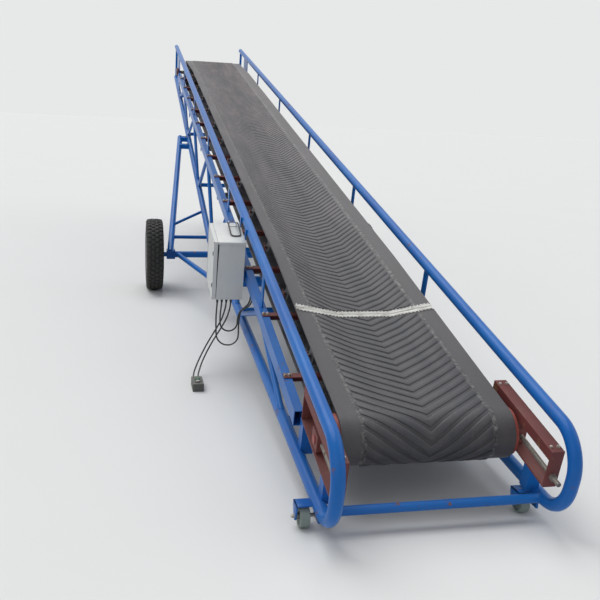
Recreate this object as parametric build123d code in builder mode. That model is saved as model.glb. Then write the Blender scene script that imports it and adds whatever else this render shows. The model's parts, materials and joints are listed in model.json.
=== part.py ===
from build123d import *
import os
from math import atan, atan2, cos, pi, radians, sin, tan

os.makedirs("parts", exist_ok=True)

# The machine stands on its road wheels and two small tail wheels. Millimetres, +Y towards the head.
# A deck point is (x, station, height): station runs up the belt, height is square to it,
# and the two rails' centre lines lie at height 0.

# Side frames
INCLINE = 12.0
RAIL_Z = 505.0
RAIL_END = 10190.0
SIDE_X = 500.0
RAIL_R = 30.0
RAIL_WALL = 3.5
LOOP_STATION = -255.0
LOOP_DEPTH = 370.0
LOOP_BEND = 175.0
LOOP_JOIN = 60.0
KINK_STATION = 4400.0
KINK_DEPTH = 965.0
KINK_BEND = 900.0
CHORD_END_DEPTH = 459.0
SEAT = 0.3

# Stringers, posts, webs and cross tubes
STRINGER_TOP = -255.0
STRINGER_DEEP = 80.0
STRINGER_WIDE = 45.0
STRINGER_WALL = 3.5
STRINGER_START = 440.0
STRINGER_END = 9360.0
PANEL = 1690.0
FIRST_POST = 1560.0
POSTS = 5
POST_WIDE = 60.0
POST_THICK = 8.0
WEB_R = 17.0
TUBE_WALL = 3.0
WEB_SPREAD = 60.0
FIRST_LOW_NODE = 715.0
LOW_NODES = 6
CROSS_R = 21.0
TAIL_CROSS = -100.0
END_POST = RAIL_END - 60

# Belt and drums
BELT_WIDE = 800.0
BELT_THICK = 10.0
BELT_FLAT_TOP = -100.0
CENTRE_WIDE = 300.0
TROUGH_ANGLE = 20.0
TROUGH_TOP = -135.0
TROUGH_START = 1850.0
TROUGH_END = 8430.0
TAIL_STATION = 170.0
TAIL_DRUM_R = 110.0
HEAD_STATION = 9530.0
HEAD_DRUM_R = 160.0
DRUM_LONG = 840.0
DRUM_WALL = 5.0
DRUM_END = 8.0
DRUM_RECESS = 12.0
MOTOR_R = 94.0
MOTOR_LONG = 620.0
TAIL_SHAFT_R = 20.0
HEAD_SHAFT_R = 25.0
SPLICE_STATION = 1160.0
SPLICE_THICK = 2.5
SPLICE_BAND = 16.0
SPLICE_GAP = 9.0

# Idlers
IDLERS = 13
FIRST_IDLER = 750.0
IDLER_PITCH = 680.0
ROLL_R = 44.5
ROLL_STUB_R = 10.0
CENTRE_ROLL = 286.0
WING_ROLL = 225.0
BRACKET_THICK = 6.0
BRACKET_WIDE = 40.0
INNER_BRACKET_X = 152.0
OUTER_BRACKET_X = 405.0
BASE_THICK = 6.0
BASE_HALF = 518.0
SLOT_DROP = 4.0
RETURN_ROLL_R = 30.0
RETURN_ROLL = 840.0

# Head plates
PLATE_THICK = 8.0

# Take-ups at the tail
TAKEUP_X = 465.0
TAKEUP_WIDE = 60.0
TAKEUP_TOP = -96.0
TAKEUP_LIP = 46.0
TAKEUP_START = -165.0
TAKEUP_END = 405.0
TAKEUP_PLATE = 8.0
TAKEUP_FOOT = -276.0
SCREW_R = 10.0
SCREW_OUT = 60.0
BLOCK_LONG = 90.0
BLOCK_HIGH = 84.0

# Road wheels and undercarriage
TYRE_R = 335.0
TYRE_WIDE = 158.0
RIM_R = 178.0
TRACK_HALF = 1020.0
AXLE_Y = 4570.0
AXLE_R = 30.0
AXLE_HALF = 905.0
STUB_R = 22.0
LEG_R = 30.0
LEG_WALL = 4.0
LEG_FOOT_RISE = 62.0
AXLE_SOCKET = 78.0
LEG_FOOT_X = AXLE_HALF - AXLE_SOCKET / 2 + 2
FOOT_PLATE = 8.0
LEG_TOP_X = 612.0
LEG_TOP_STATION = 7300.0
TIE_T = 0.077
TIE_R = 17.0
BRACE_T = 0.166
BRACE_R = 14.0
BRACE_PAST_KINK = 700.0
LEG_PLATE_DEEP = 50.0
LEG_PLATES = ((LEG_TOP_STATION - 20, 90.0), (LEG_TOP_STATION - 290, 70.0))
PIPE_R = 45.0
PIPE_WALL = 5.0
PIPE_HALF = 610.0
PIPE_STATION = 3390.0
STRUT_R = 22.0
STRUT_FOOT_X = AXLE_HALF - 105
STRUT_TOP_X = 560.0

# Tail wheels
TAIL_WHEEL_R = 50.0
TAIL_WHEEL_WIDE = 42.0
TAIL_WHEEL_STATION = -20.0
TAIL_AXLE_R = 8.0

# Control cabinet
CABINET_STATION = 2045.0
CABINET_LONG = 350.0
CABINET_TOP = -50.0
CABINET_HIGH = 400.0
CABINET_DEEP = 175.0
CABINET_GAP = 10.0
CABINET_WALL = 2.5
DOOR_THICK = 22.0
DOOR_GAP = 1.0
HINGE_GAP = 7.0
HINGE_R = 5.0
HINGE_PIN_R = 2.2
HINGE_HALF = 14.0
HINGE_LEAF = 3.0
STRAP_INSET = 60.0
STRAP_WIDE = 36.0
STRAP_THICK = 5.0
STRAP_TOP = 24.0
STRAP_FOOT = -330.0

# Cords, their glands and the pendant that lies on the floor
CORD_R = 5.0
CORD_STRAIGHT = 40.0
ARC_SHARE = 0.45
GLAND_NUT_R = 12.0
GLAND_NUT = 8.0
GLAND_LONG = 26.0
BOOT_R = 9.0
BOOT_TIP_R = 6.0
GLAND_X = (-695.0, -665.0, -635.0, -605.0)
GLAND_STATION = 2110.0
INNER_GLAND = 1960.0
OUTER_GLAND = 1900.0
PENDANT_X = -851.0
PENDANT_Y = -3125.0
PENDANT_WIDE = 68.0
PENDANT_LONG = 150.0
PENDANT_HIGH = 50.0
PENDANT_CORNER = 8.0
BUTTON_R = 13.0
BUTTON_HIGH = 7.0
BUTTON_PLACES = (-32.0, 12.0)
LEAD_OFFSET = 15.0

INCLINE_COS = cos(radians(INCLINE))
INCLINE_SIN = sin(radians(INCLINE))
CHORD_RISE = (KINK_DEPTH - CHORD_END_DEPTH) / (RAIL_END - KINK_STATION)
CHORD_FALL = (KINK_DEPTH - LOOP_DEPTH) / (KINK_STATION - LOOP_STATION)
LOOP_CENTRE = (LOOP_STATION + LOOP_BEND, -LOOP_BEND)

# The machine's ends, measured from the tail reference, give the shift that centres it on Y.
TAIL_END = LOOP_CENTRE[0] * INCLINE_COS - LOOP_CENTRE[1] * INCLINE_SIN - LOOP_BEND - RAIL_R
HEAD_END = (RAIL_END * INCLINE_COS + CHORD_END_DEPTH * INCLINE_SIN
            + RAIL_R * sin(radians(INCLINE) + atan(CHORD_RISE)))
TAIL_Y = -(TAIL_END + HEAD_END) / 2


def deck(x, station, height):
    """Model point of a deck point."""
    return Vector(
        x,
        TAIL_Y + station * INCLINE_COS - height * INCLINE_SIN,
        RAIL_Z + station * INCLINE_SIN + height * INCLINE_COS,
    )


UP_BELT = deck(0, 1, 0) - deck(0, 0, 0)
OFF_DECK = deck(0, 0, 1) - deck(0, 0, 0)


def side_plane(x):
    """Plane of a side frame: its own X is the station and its own Y the height; it faces +X."""
    return Plane(origin=deck(x, 0, 0), x_dir=UP_BELT, z_dir=(1, 0, 0))


def section_plane(station):
    """Plane square to the belt: its own X runs across the machine and its own Y is the height."""
    return Plane(origin=deck(0, station, 0), x_dir=(1, 0, 0), z_dir=-UP_BELT)


def chord_height(station):
    """Height of the lower chord's centre line."""
    if station < KINK_STATION:
        return -LOOP_DEPTH - CHORD_FALL * (station - LOOP_STATION)
    return -KINK_DEPTH + CHORD_RISE * (station - KINK_STATION)


def belt_edge(station):
    """Height of the belt's middle, then x and height of its edge, all on its upper face."""
    wing = (BELT_WIDE - CENTRE_WIDE) / 2
    full = radians(TROUGH_ANGLE)
    trough = (TROUGH_TOP, CENTRE_WIDE / 2 + wing * cos(full), TROUGH_TOP + wing * sin(full))
    flat = (BELT_FLAT_TOP, BELT_WIDE / 2, BELT_FLAT_TOP)
    into = (station - TAIL_STATION) / (TROUGH_START - TAIL_STATION)
    out_of = (HEAD_STATION - station) / (HEAD_STATION - TROUGH_END)
    share = max(0.0, min(1.0, into, out_of))
    return [a + (b - a) * share for a, b in zip(flat, trough)]


def wing_angle(station):
    """Slope of the belt's wing in radians."""
    middle, edge_x, edge_height = belt_edge(station)
    return atan2(edge_height - middle, edge_x - CENTRE_WIDE / 2)


def band_slabs(station, thick, below=0.0):
    """Corners of the three slabs, wing, middle and wing, of a band on the belt's upper face."""
    middle, edge_x, edge_height = belt_edge(station)
    tilt = wing_angle(station)
    rows = []
    for depth in (below, below + thick):
        fold = CENTRE_WIDE / 2 + depth * tan(tilt / 2)
        rows.append((fold, middle - depth, edge_x + depth * sin(tilt), edge_height - depth * cos(tilt)))
    (fold0, mid0, tip0, edge0), (fold1, mid1, tip1, edge1) = rows
    return (
        ((-tip0, edge0), (-fold0, mid0), (-fold1, mid1), (-tip1, edge1)),
        ((-fold0, mid0), (fold0, mid0), (fold1, mid1), (-fold1, mid1)),
        ((fold0, mid0), (tip0, edge0), (tip1, edge1), (fold1, mid1)),
    )


SIDES = (("left", -1), ("right", 1))

# Rails: each is one bent tube, from its free end at the head down round the tail loop
for name, side in SIDES:
    with BuildPart() as rail:
        with BuildLine() as rail_path:
            FilletPolyline(
                deck(side * SIDE_X, RAIL_END, 0),
                deck(side * SIDE_X, LOOP_STATION, 0),
                deck(side * SIDE_X, LOOP_STATION, -LOOP_DEPTH),
                deck(side * SIDE_X, LOOP_JOIN, chord_height(LOOP_JOIN)),
                radius=LOOP_BEND,
            )
        with BuildSketch(Plane(origin=rail_path.line @ 0, z_dir=rail_path.line % 0)):
            Circle(RAIL_R)
            Circle(RAIL_R - RAIL_WALL, mode=Mode.SUBTRACT)
        sweep(path=rail_path.line)
    rail.part.label = f"rail_{name}"
    export_step(rail.part, f"parts/rail_{name}.step")

# Lower chords: a tube from the loop down to the kink, butt-welded there to the tube up to the head
for name, side in SIDES:
    for chord_name, keep in (("lower_chord", Keep.BOTTOM), ("head_chord", Keep.TOP)):
        with BuildPart() as chord:
            with BuildLine() as chord_path:
                FilletPolyline(
                    deck(side * SIDE_X, LOOP_JOIN, chord_height(LOOP_JOIN)),
                    deck(side * SIDE_X, KINK_STATION, -KINK_DEPTH),
                    deck(side * SIDE_X, RAIL_END, -CHORD_END_DEPTH),
                    radius=KINK_BEND,
                )
            bend = chord_path.edges().filter_by(GeomType.CIRCLE)[0]
            with BuildSketch(Plane(origin=chord_path.line @ 0, z_dir=chord_path.line % 0)):
                Circle(RAIL_R)
                Circle(RAIL_R - RAIL_WALL, mode=Mode.SUBTRACT)
            sweep(path=chord_path.line)
            split(bisect_by=Plane(origin=bend @ 0.5, z_dir=bend % 0.5), keep=keep)
        chord.part.label = f"{chord_name}_{name}"
        export_step(chord.part, f"parts/{chord_name}_{name}.step")

# The room that rail, loop and chord take up, by which what meets them is coped
frame_room = {}
for name, side in SIDES:
    with BuildPart() as room:
        with BuildLine() as room_path:
            FilletPolyline(
                deck(side * SIDE_X, RAIL_END, 0),
                deck(side * SIDE_X, LOOP_STATION, 0),
                deck(side * SIDE_X, LOOP_STATION, -LOOP_DEPTH),
                deck(side * SIDE_X, KINK_STATION, -KINK_DEPTH),
                deck(side * SIDE_X, RAIL_END, -CHORD_END_DEPTH),
                radius=[LOOP_BEND, LOOP_BEND, KINK_BEND],
            )
        with BuildSketch(Plane(origin=room_path.line @ 0, z_dir=room_path.line % 0)):
            Circle(RAIL_R + SEAT)
        sweep(path=room_path.line)
    frame_room[name] = room.part


def rod(start, end, radius, wall=0.0):
    """Round bar from point to point, or a tube where it has a wall."""
    with BuildPart() as bar:
        with BuildSketch(Plane(origin=start, z_dir=end - start)):
            Circle(radius)
            if wall:
                Circle(radius - wall, mode=Mode.SUBTRACT)
        extrude(amount=(end - start).length)
    return bar.part


# Stringers: rectangular hollow sections, a step below the rails
for name, side in SIDES:
    with BuildPart() as stringer:
        with BuildSketch(section_plane(STRINGER_START)):
            with Locations((side * SIDE_X, STRINGER_TOP - STRINGER_DEEP / 2)):
                Rectangle(STRINGER_WIDE, STRINGER_DEEP)
                Rectangle(
                    STRINGER_WIDE - 2 * STRINGER_WALL, STRINGER_DEEP - 2 * STRINGER_WALL, mode=Mode.SUBTRACT
                )
        extrude(amount=STRINGER_START - STRINGER_END)
    stringer.part.label = f"stringer_{name}"
    export_step(stringer.part, f"parts/stringer_{name}.step")

# Posts: flat bars that hold each rail above its stringer, and a tube at the rail's end
post_stations = [FIRST_POST + PANEL * number for number in range(POSTS)]
for name, side in SIDES:
    with BuildPart() as posts:
        for station in post_stations:
            with BuildSketch(side_plane(side * SIDE_X)):
                with Locations((station, (STRINGER_TOP - RAIL_R - SEAT) / 2)):
                    Rectangle(POST_WIDE, -STRINGER_TOP - RAIL_R - SEAT)
            extrude(amount=POST_THICK / 2, both=True)
        rail_point = deck(side * SIDE_X, END_POST, 0)
        chord_point = deck(side * SIDE_X, END_POST, chord_height(END_POST))
        add(rod(chord_point, rail_point, WEB_R, TUBE_WALL))
        add(frame_room[name], mode=Mode.SUBTRACT)
    posts.part.label = f"posts_{name}"
    export_step(posts.part, f"parts/posts_{name}.step")

# Webs: a zigzag of tubes between stringer and lower chord, each coped to the chord's round
low_stations = [FIRST_LOW_NODE + PANEL * number for number in range(LOW_NODES)]
stringer_foot = STRINGER_TOP - STRINGER_DEEP
for name, side in SIDES:
    with BuildPart() as webs:
        for number, station in enumerate(low_stations):
            for reach in (-1, 1):
                upper = station + reach * PANEL / 2
                if upper < STRINGER_START or upper > STRINGER_END:
                    continue
                low = deck(side * SIDE_X, station + reach * WEB_SPREAD, chord_height(station))
                high = deck(side * SIDE_X, upper - reach * WEB_SPREAD, stringer_foot)
                run = high - low
                with BuildSketch(Plane(origin=low, z_dir=run)):
                    Circle(WEB_R)
                    Circle(WEB_R - TUBE_WALL, mode=Mode.SUBTRACT)
                extrude(amount=run.length + 2 * WEB_R)
        add(frame_room[name], mode=Mode.SUBTRACT)
        with BuildSketch(section_plane(0)):
            with Locations((side * SIDE_X, stringer_foot + 100)):
                Rectangle(100, 200)
        extrude(amount=-RAIL_END, mode=Mode.SUBTRACT)
    webs.part.label = f"webs_{name}"
    export_step(webs.part, f"parts/webs_{name}.step")

# Cross tubes between the lower chords, with the one at the tail loop
with BuildPart() as cross_tubes:
    for station in [TAIL_CROSS] + low_stations + [END_POST]:
        left, right = (deck(side * SIDE_X, station, chord_height(station)) for side in (-1, 1))
        add(rod(left, right, CROSS_R, TUBE_WALL))
    for room in frame_room.values():
        add(room, mode=Mode.SUBTRACT)
cross_tubes.part.label = "cross_tubes"
export_step(cross_tubes.part, "parts/cross_tubes.step")

# Belt: one endless loop, flat round the drums and troughed over the idlers
drum_fall = TAIL_DRUM_R - HEAD_DRUM_R
lower_slope = 2 * atan(-drum_fall / (HEAD_STATION - TAIL_STATION))
tail_axis = BELT_FLAT_TOP - BELT_THICK - TAIL_DRUM_R
head_axis = BELT_FLAT_TOP - BELT_THICK - HEAD_DRUM_R


def loop_corners(extra):
    """Tangent points and arc middles of the closed line that lies this far outside the drums."""
    tail_r = TAIL_DRUM_R + extra
    head_r = HEAD_DRUM_R + extra
    return {
        "tail_top": (TAIL_STATION, tail_axis + tail_r),
        "tail_nose": (TAIL_STATION - tail_r, tail_axis),
        "tail_foot": (
            TAIL_STATION - tail_r * sin(lower_slope),
            tail_axis - tail_r * cos(lower_slope),
        ),
        "head_foot": (
            HEAD_STATION - head_r * sin(lower_slope),
            head_axis - head_r * cos(lower_slope),
        ),
        "head_nose": (HEAD_STATION + head_r, head_axis),
        "head_top": (HEAD_STATION, head_axis + head_r),
    }


with BuildPart() as belt:
    with BuildSketch(side_plane(0)):
        for extra, mode in ((BELT_THICK, Mode.ADD), (0.0, Mode.SUBTRACT)):
            at = loop_corners(extra)
            with BuildLine():
                ThreePointArc(at["tail_top"], at["tail_nose"], at["tail_foot"])
                Line(at["tail_foot"], at["head_foot"])
                ThreePointArc(at["head_foot"], at["head_nose"], at["head_top"])
                Line(at["head_top"], at["tail_top"])
            make_face(mode=mode)
        with Locations(((TAIL_STATION + HEAD_STATION) / 2, BELT_FLAT_TOP - BELT_THICK / 2)):
            Rectangle(HEAD_STATION - TAIL_STATION, 2 * BELT_THICK, mode=Mode.SUBTRACT)
    extrude(amount=BELT_WIDE / 2, both=True)
    for start, end in (
        (TAIL_STATION, TROUGH_START),
        (TROUGH_START, TROUGH_END),
        (TROUGH_END, HEAD_STATION),
    ):
        for slab_start, slab_end in zip(band_slabs(start, BELT_THICK), band_slabs(end, BELT_THICK)):
            for station, corners in ((start, slab_start), (end, slab_end)):
                with BuildSketch(section_plane(station)):
                    with BuildLine():
                        Polyline(*corners, close=True)
                    make_face()
            loft(ruled=True)
belt.part.label = "belt"
export_step(belt.part, "parts/belt.step")


def return_face(station):
    """Height of the outer face of the belt's return run."""
    at = loop_corners(BELT_THICK)
    (s0, h0), (s1, h1) = at["tail_foot"], at["head_foot"]
    return h0 + (h1 - h0) * (station - s0) / (s1 - s0)


# Drums: a shell with set-in end discs on stub shafts; the tail drum has its motor on a through shaft
DRUMS = (
    # name, station, axis height, radius, shaft radius, shaft half length, motor length
    ("tail_drum", TAIL_STATION, tail_axis, TAIL_DRUM_R, TAIL_SHAFT_R, TAKEUP_X + TAKEUP_WIDE / 2, MOTOR_LONG),
    ("head_drum", HEAD_STATION, head_axis, HEAD_DRUM_R, HEAD_SHAFT_R, SIDE_X + 40, 0),
)
for name, station, axis_height, radius, shaft_r, half, motor_long in DRUMS:
    with BuildPart() as drum:
        with BuildSketch(Plane(origin=deck(0, station, axis_height), z_dir=(1, 0, 0))):
            Circle(radius - SEAT)
        extrude(amount=DRUM_LONG / 2, both=True)
        fillet(drum.edges().filter_by(GeomType.CIRCLE), radius=4)
        for side in (-1, 1):
            end = deck(side * DRUM_LONG / 2, station, axis_height)
            with BuildSketch(Plane(origin=end, z_dir=(side, 0, 0))):
                Circle(radius - 2 * DRUM_WALL)
            extrude(amount=-DRUM_RECESS, mode=Mode.SUBTRACT)
        with BuildSketch(Plane(origin=deck(0, station, axis_height), z_dir=(1, 0, 0))):
            Circle(shaft_r)
        extrude(amount=half, both=True)
        with BuildSketch(Plane(origin=deck(0, station, axis_height), z_dir=(1, 0, 0))):
            Circle(radius - DRUM_WALL)
        extrude(amount=DRUM_LONG / 2 - DRUM_RECESS - DRUM_END, both=True, mode=Mode.SUBTRACT)
        if motor_long:
            for core_r, core_long in ((shaft_r, DRUM_LONG), (MOTOR_R, motor_long)):
                with BuildSketch(Plane(origin=deck(0, station, axis_height), z_dir=(1, 0, 0))):
                    Circle(core_r)
                extrude(amount=core_long / 2, both=True)
    drum.part.label = name
    export_step(drum.part, f"parts/{name}.step")

# Idlers: a centre roll and two wing rolls on one frame, set to the belt's slope at each station
idler_stations = [FIRST_IDLER + IDLER_PITCH * number for number in range(IDLERS)]
under = BELT_THICK + SEAT + ROLL_R
base_top = STRINGER_TOP + BASE_THICK


def roll(start, direction, length, stub_in, stub_out):
    """Roll with a stub shaft at each end."""
    plane = Plane(origin=start, z_dir=direction)
    with BuildPart() as body:
        with BuildSketch(plane):
            Circle(ROLL_R)
        extrude(amount=length)
        with BuildSketch(plane.offset(-stub_in)):
            Circle(ROLL_STUB_R)
        extrude(amount=length + stub_in + stub_out)
    return body.part


with BuildPart() as idler_frames:
    for station in idler_stations:
        middle, edge_x, edge_height = belt_edge(station)
        tilt = wing_angle(station)
        centre_axis = middle - under
        wing_foot = (CENTRE_WIDE / 2 + under * sin(tilt), middle - under * cos(tilt))
        outer_axis = wing_foot[1] + (OUTER_BRACKET_X - wing_foot[0]) * tan(tilt)
        with BuildSketch(section_plane(station + BRACKET_WIDE / 2)):
            with Locations((0, STRINGER_TOP + BASE_THICK / 2)):
                Rectangle(2 * BASE_HALF, BASE_THICK)
            for side in (-1, 1):
                for x, axis_height in ((INNER_BRACKET_X, centre_axis), (OUTER_BRACKET_X, outer_axis)):
                    top = axis_height + ROLL_STUB_R + 5
                    with Locations((side * x, (base_top + top) / 2)):
                        Rectangle(BRACKET_THICK, top - base_top)
        extrude(amount=BRACKET_WIDE)
        with BuildSketch(section_plane(station + BRACKET_WIDE / 2)):
            with Locations((0, STRINGER_TOP - 20)):
                Rectangle(2 * (SIDE_X - STRINGER_WIDE / 2 - 2), 40)
        extrude(amount=BASE_THICK)
        for x, axis_height in ((INNER_BRACKET_X, centre_axis), (OUTER_BRACKET_X, outer_axis)):
            with BuildSketch(side_plane(0)):
                with Locations((station, axis_height - ROLL_STUB_R - SLOT_DROP + 30)):
                    Rectangle(2 * (ROLL_STUB_R + SEAT), 60)
            extrude(amount=x + BRACKET_THICK, both=True, mode=Mode.SUBTRACT)
idler_frames.part.label = "idler_frames"
export_step(idler_frames.part, "parts/idler_frames.step")

with BuildPart() as idler_rolls_centre:
    for station in idler_stations:
        axis_height = belt_edge(station)[0] - under
        stub = INNER_BRACKET_X - CENTRE_ROLL / 2
        add(roll(deck(-CENTRE_ROLL / 2, station, axis_height), (1, 0, 0), CENTRE_ROLL, stub, stub))
idler_rolls_centre.part.label = "idler_rolls_centre"
export_step(idler_rolls_centre.part, "parts/idler_rolls_centre.step")

for name, side in SIDES:
    with BuildPart() as wing_rolls:
        for station in idler_stations:
            middle = belt_edge(station)[0]
            tilt = wing_angle(station)
            foot_x = CENTRE_WIDE / 2 + under * sin(tilt)
            foot_height = middle - under * cos(tilt)
            clear_x = INNER_BRACKET_X + BRACKET_THICK / 2 + 4 + ROLL_R * sin(tilt)
            along = (clear_x - foot_x) / cos(tilt)
            stub_in = 4 / cos(tilt) + (ROLL_R - ROLL_STUB_R) * tan(tilt)
            outer_x = clear_x + WING_ROLL * cos(tilt)
            stub_out = (OUTER_BRACKET_X + BRACKET_THICK / 2 - outer_x) / cos(tilt)
            start = deck(side * clear_x, station, foot_height + along * sin(tilt))
            tip = deck(side * outer_x, station, foot_height + (along + WING_ROLL) * sin(tilt))
            add(roll(start, tip - start, WING_ROLL, stub_in, stub_out))
    wing_rolls.part.label = f"idler_rolls_{name}"
    export_step(wing_rolls.part, f"parts/idler_rolls_{name}.step")

# Return rolls under the lower run, on hangers below the stringers
return_stations = low_stations[1:5]
hanger_x = SIDE_X - 12
with BuildPart() as return_rolls:
    for station in return_stations:
        axis_height = return_face(station) - SEAT - RETURN_ROLL_R
        with BuildSketch(Plane(origin=deck(0, station, axis_height), z_dir=(1, 0, 0))):
            Circle(RETURN_ROLL_R)
        extrude(amount=RETURN_ROLL / 2, both=True)
        with BuildSketch(Plane(origin=deck(0, station, axis_height), z_dir=(1, 0, 0))):
            Circle(ROLL_STUB_R)
        extrude(amount=hanger_x + BRACKET_THICK / 2, both=True)
return_rolls.part.label = "return_rolls"
export_step(return_rolls.part, "parts/return_rolls.step")

with BuildPart() as return_hangers:
    for station in return_stations:
        foot = return_face(station) - SEAT - RETURN_ROLL_R - 30
        with BuildSketch(side_plane(0)):
            with Locations((station, (stringer_foot + foot) / 2)):
                Rectangle(50, stringer_foot - foot)
            with Locations((station, foot + 30)):
                Circle(ROLL_STUB_R + SEAT, mode=Mode.SUBTRACT)
        extrude(amount=hanger_x + BRACKET_THICK / 2, both=True)
    with BuildSketch(section_plane(0)):
        Rectangle(2 * (hanger_x - BRACKET_THICK / 2), 2 * RAIL_END)
    extrude(amount=-RAIL_END, mode=Mode.SUBTRACT)
return_hangers.part.label = "return_hangers"
export_step(return_hangers.part, "parts/return_hangers.step")

# Head plates: each hangs under the stringer's end and holds the head drum's shaft
plate_start = STRINGER_END - 60
plate_end = HEAD_STATION + 190
with BuildPart() as head_plates:
    for side in (-1, 1):
        with BuildSketch(side_plane(side * SIDE_X)):
            with BuildLine():
                Polyline(
                    (STRINGER_END + SEAT, -RAIL_R - SEAT),
                    (plate_end, -RAIL_R - SEAT),
                    (plate_end, head_axis + 60),
                    (HEAD_STATION + 80, chord_height(HEAD_STATION + 80) + RAIL_R + 1),
                    (STRINGER_END + SEAT, chord_height(STRINGER_END) + RAIL_R + 1),
                    close=True,
                )
            make_face()
            with Locations((HEAD_STATION, head_axis)):
                Circle(HEAD_SHAFT_R + SEAT, mode=Mode.SUBTRACT)
        extrude(amount=PLATE_THICK / 2, both=True)
head_plates.part.label = "head_plates"
export_step(head_plates.part, "parts/head_plates.step")

# Head collars: the clamp ring on each plate that grips the drum's fixed shaft
with BuildPart() as shaft_clamps:
    for side in (-1, 1):
        with BuildSketch(Plane(origin=deck(side * (SIDE_X + PLATE_THICK / 2), HEAD_STATION, head_axis),
                               x_dir=UP_BELT, z_dir=(side, 0, 0))):
            Rectangle(150, 96)
            Circle(HEAD_SHAFT_R + SEAT, mode=Mode.SUBTRACT)
        extrude(amount=26)
shaft_clamps.part.label = "shaft_clamps"
export_step(shaft_clamps.part, "parts/shaft_clamps.step")

# Take-ups: an upturned channel over a bearing block that the screw pulls towards the tail
block_half = TAKEUP_WIDE / 2 - 5
for name, side in SIDES:
    middle_x = side * TAKEUP_X
    with BuildPart() as takeup:
        with BuildSketch(side_plane(middle_x)):
            with BuildLine():
                Polyline(
                    (TAKEUP_START, TAKEUP_TOP),
                    (TAKEUP_END, TAKEUP_TOP),
                    (TAKEUP_END, TAKEUP_FOOT),
                    (TAKEUP_START, TAKEUP_FOOT),
                    close=True,
                )
            make_face()
            with BuildLine():
                Polyline(
                    (TAKEUP_START + TAKEUP_PLATE, TAKEUP_TOP - TAKEUP_PLATE),
                    (TAKEUP_END - TAKEUP_PLATE, TAKEUP_TOP - TAKEUP_PLATE),
                    (TAKEUP_END - TAKEUP_PLATE, TAKEUP_FOOT + TAKEUP_PLATE),
                    (TAKEUP_START + TAKEUP_PLATE, TAKEUP_FOOT + TAKEUP_PLATE),
                    close=True,
                )
            make_face(mode=Mode.SUBTRACT)
        extrude(amount=TAKEUP_WIDE / 2, both=True)
        for lip_side in (-1, 1):
            with BuildSketch(side_plane(middle_x + lip_side * (TAKEUP_WIDE / 2 - 2))):
                with Locations(((TAKEUP_START + TAKEUP_END) / 2, TAKEUP_TOP - TAKEUP_LIP / 2)):
                    Rectangle(TAKEUP_END - TAKEUP_START, TAKEUP_LIP)
            extrude(amount=2, both=True)
        with BuildSketch(section_plane(TAKEUP_START - 1)):
            with Locations((middle_x, tail_axis)):
                Circle(SCREW_R + SEAT)
        extrude(amount=-TAKEUP_PLATE - 2, mode=Mode.SUBTRACT)
    takeup.part.label = f"takeup_{name}"
    export_step(takeup.part, f"parts/takeup_{name}.step")

with BuildPart() as takeup_blocks:
    for side in (-1, 1):
        with BuildSketch(side_plane(side * TAKEUP_X)):
            with Locations((TAIL_STATION, tail_axis)):
                RectangleRounded(BLOCK_LONG, BLOCK_HIGH, 8)
                Circle(TAIL_SHAFT_R + SEAT, mode=Mode.SUBTRACT)
        extrude(amount=block_half, both=True)
takeup_blocks.part.label = "takeup_blocks"
export_step(takeup_blocks.part, "parts/takeup_blocks.step")

with BuildPart() as takeup_screws:
    for side in (-1, 1):
        with BuildSketch(section_plane(TAKEUP_START - SCREW_OUT)):
            with Locations((side * TAKEUP_X, tail_axis)):
                Circle(SCREW_R)
        extrude(amount=-(TAIL_STATION - BLOCK_LONG / 2 - TAKEUP_START + SCREW_OUT))
        with BuildSketch(section_plane(TAKEUP_START)):
            with Locations((side * TAKEUP_X, tail_axis)):
                RegularPolygon(17, 6)
        extrude(amount=18)
takeup_screws.part.label = "takeup_screws"
export_step(takeup_screws.part, "parts/takeup_screws.step")

# Tail brackets: blue posts that carry each take-up on the lower chord
with BuildPart() as tail_posts:
    for side in (-1, 1):
        for station in (TAKEUP_START + 110, TAKEUP_END - 45):
            with BuildSketch(section_plane(station)):
                low = chord_height(station) + 8
                with Locations((side * TAKEUP_X, (TAKEUP_FOOT + low) / 2)):
                    Rectangle(TAKEUP_WIDE, TAKEUP_FOOT - low)
            extrude(amount=-60)
    for name, side in SIDES:
        add(frame_room[name], mode=Mode.SUBTRACT)
    with BuildSketch(Plane(origin=deck(0, TAIL_CROSS, chord_height(TAIL_CROSS)), z_dir=(1, 0, 0))):
        Circle(CROSS_R + SEAT)
    extrude(amount=SIDE_X, both=True, mode=Mode.SUBTRACT)
tail_posts.part.label = "tail_posts"
export_step(tail_posts.part, "parts/tail_posts.step")

# Belt splice: two rows of lacing across the belt, on its upper face
with BuildPart() as belt_splice:
    for offset in (-1, 1):
        start = SPLICE_STATION + offset * (SPLICE_GAP + SPLICE_BAND) / 2 - SPLICE_BAND / 2
        ends = (start, start + SPLICE_BAND)
        slabs = [band_slabs(station, SPLICE_THICK, -SPLICE_THICK - 0.05) for station in ends]
        for slab_start, slab_end in zip(*slabs):
            for station, corners in zip(ends, (slab_start, slab_end)):
                with BuildSketch(section_plane(station)):
                    with BuildLine():
                        Polyline(*corners, close=True)
                    make_face()
            loft(ruled=True)
belt_splice.part.label = "belt_splice"
export_step(belt_splice.part, "parts/belt_splice.step")

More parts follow.
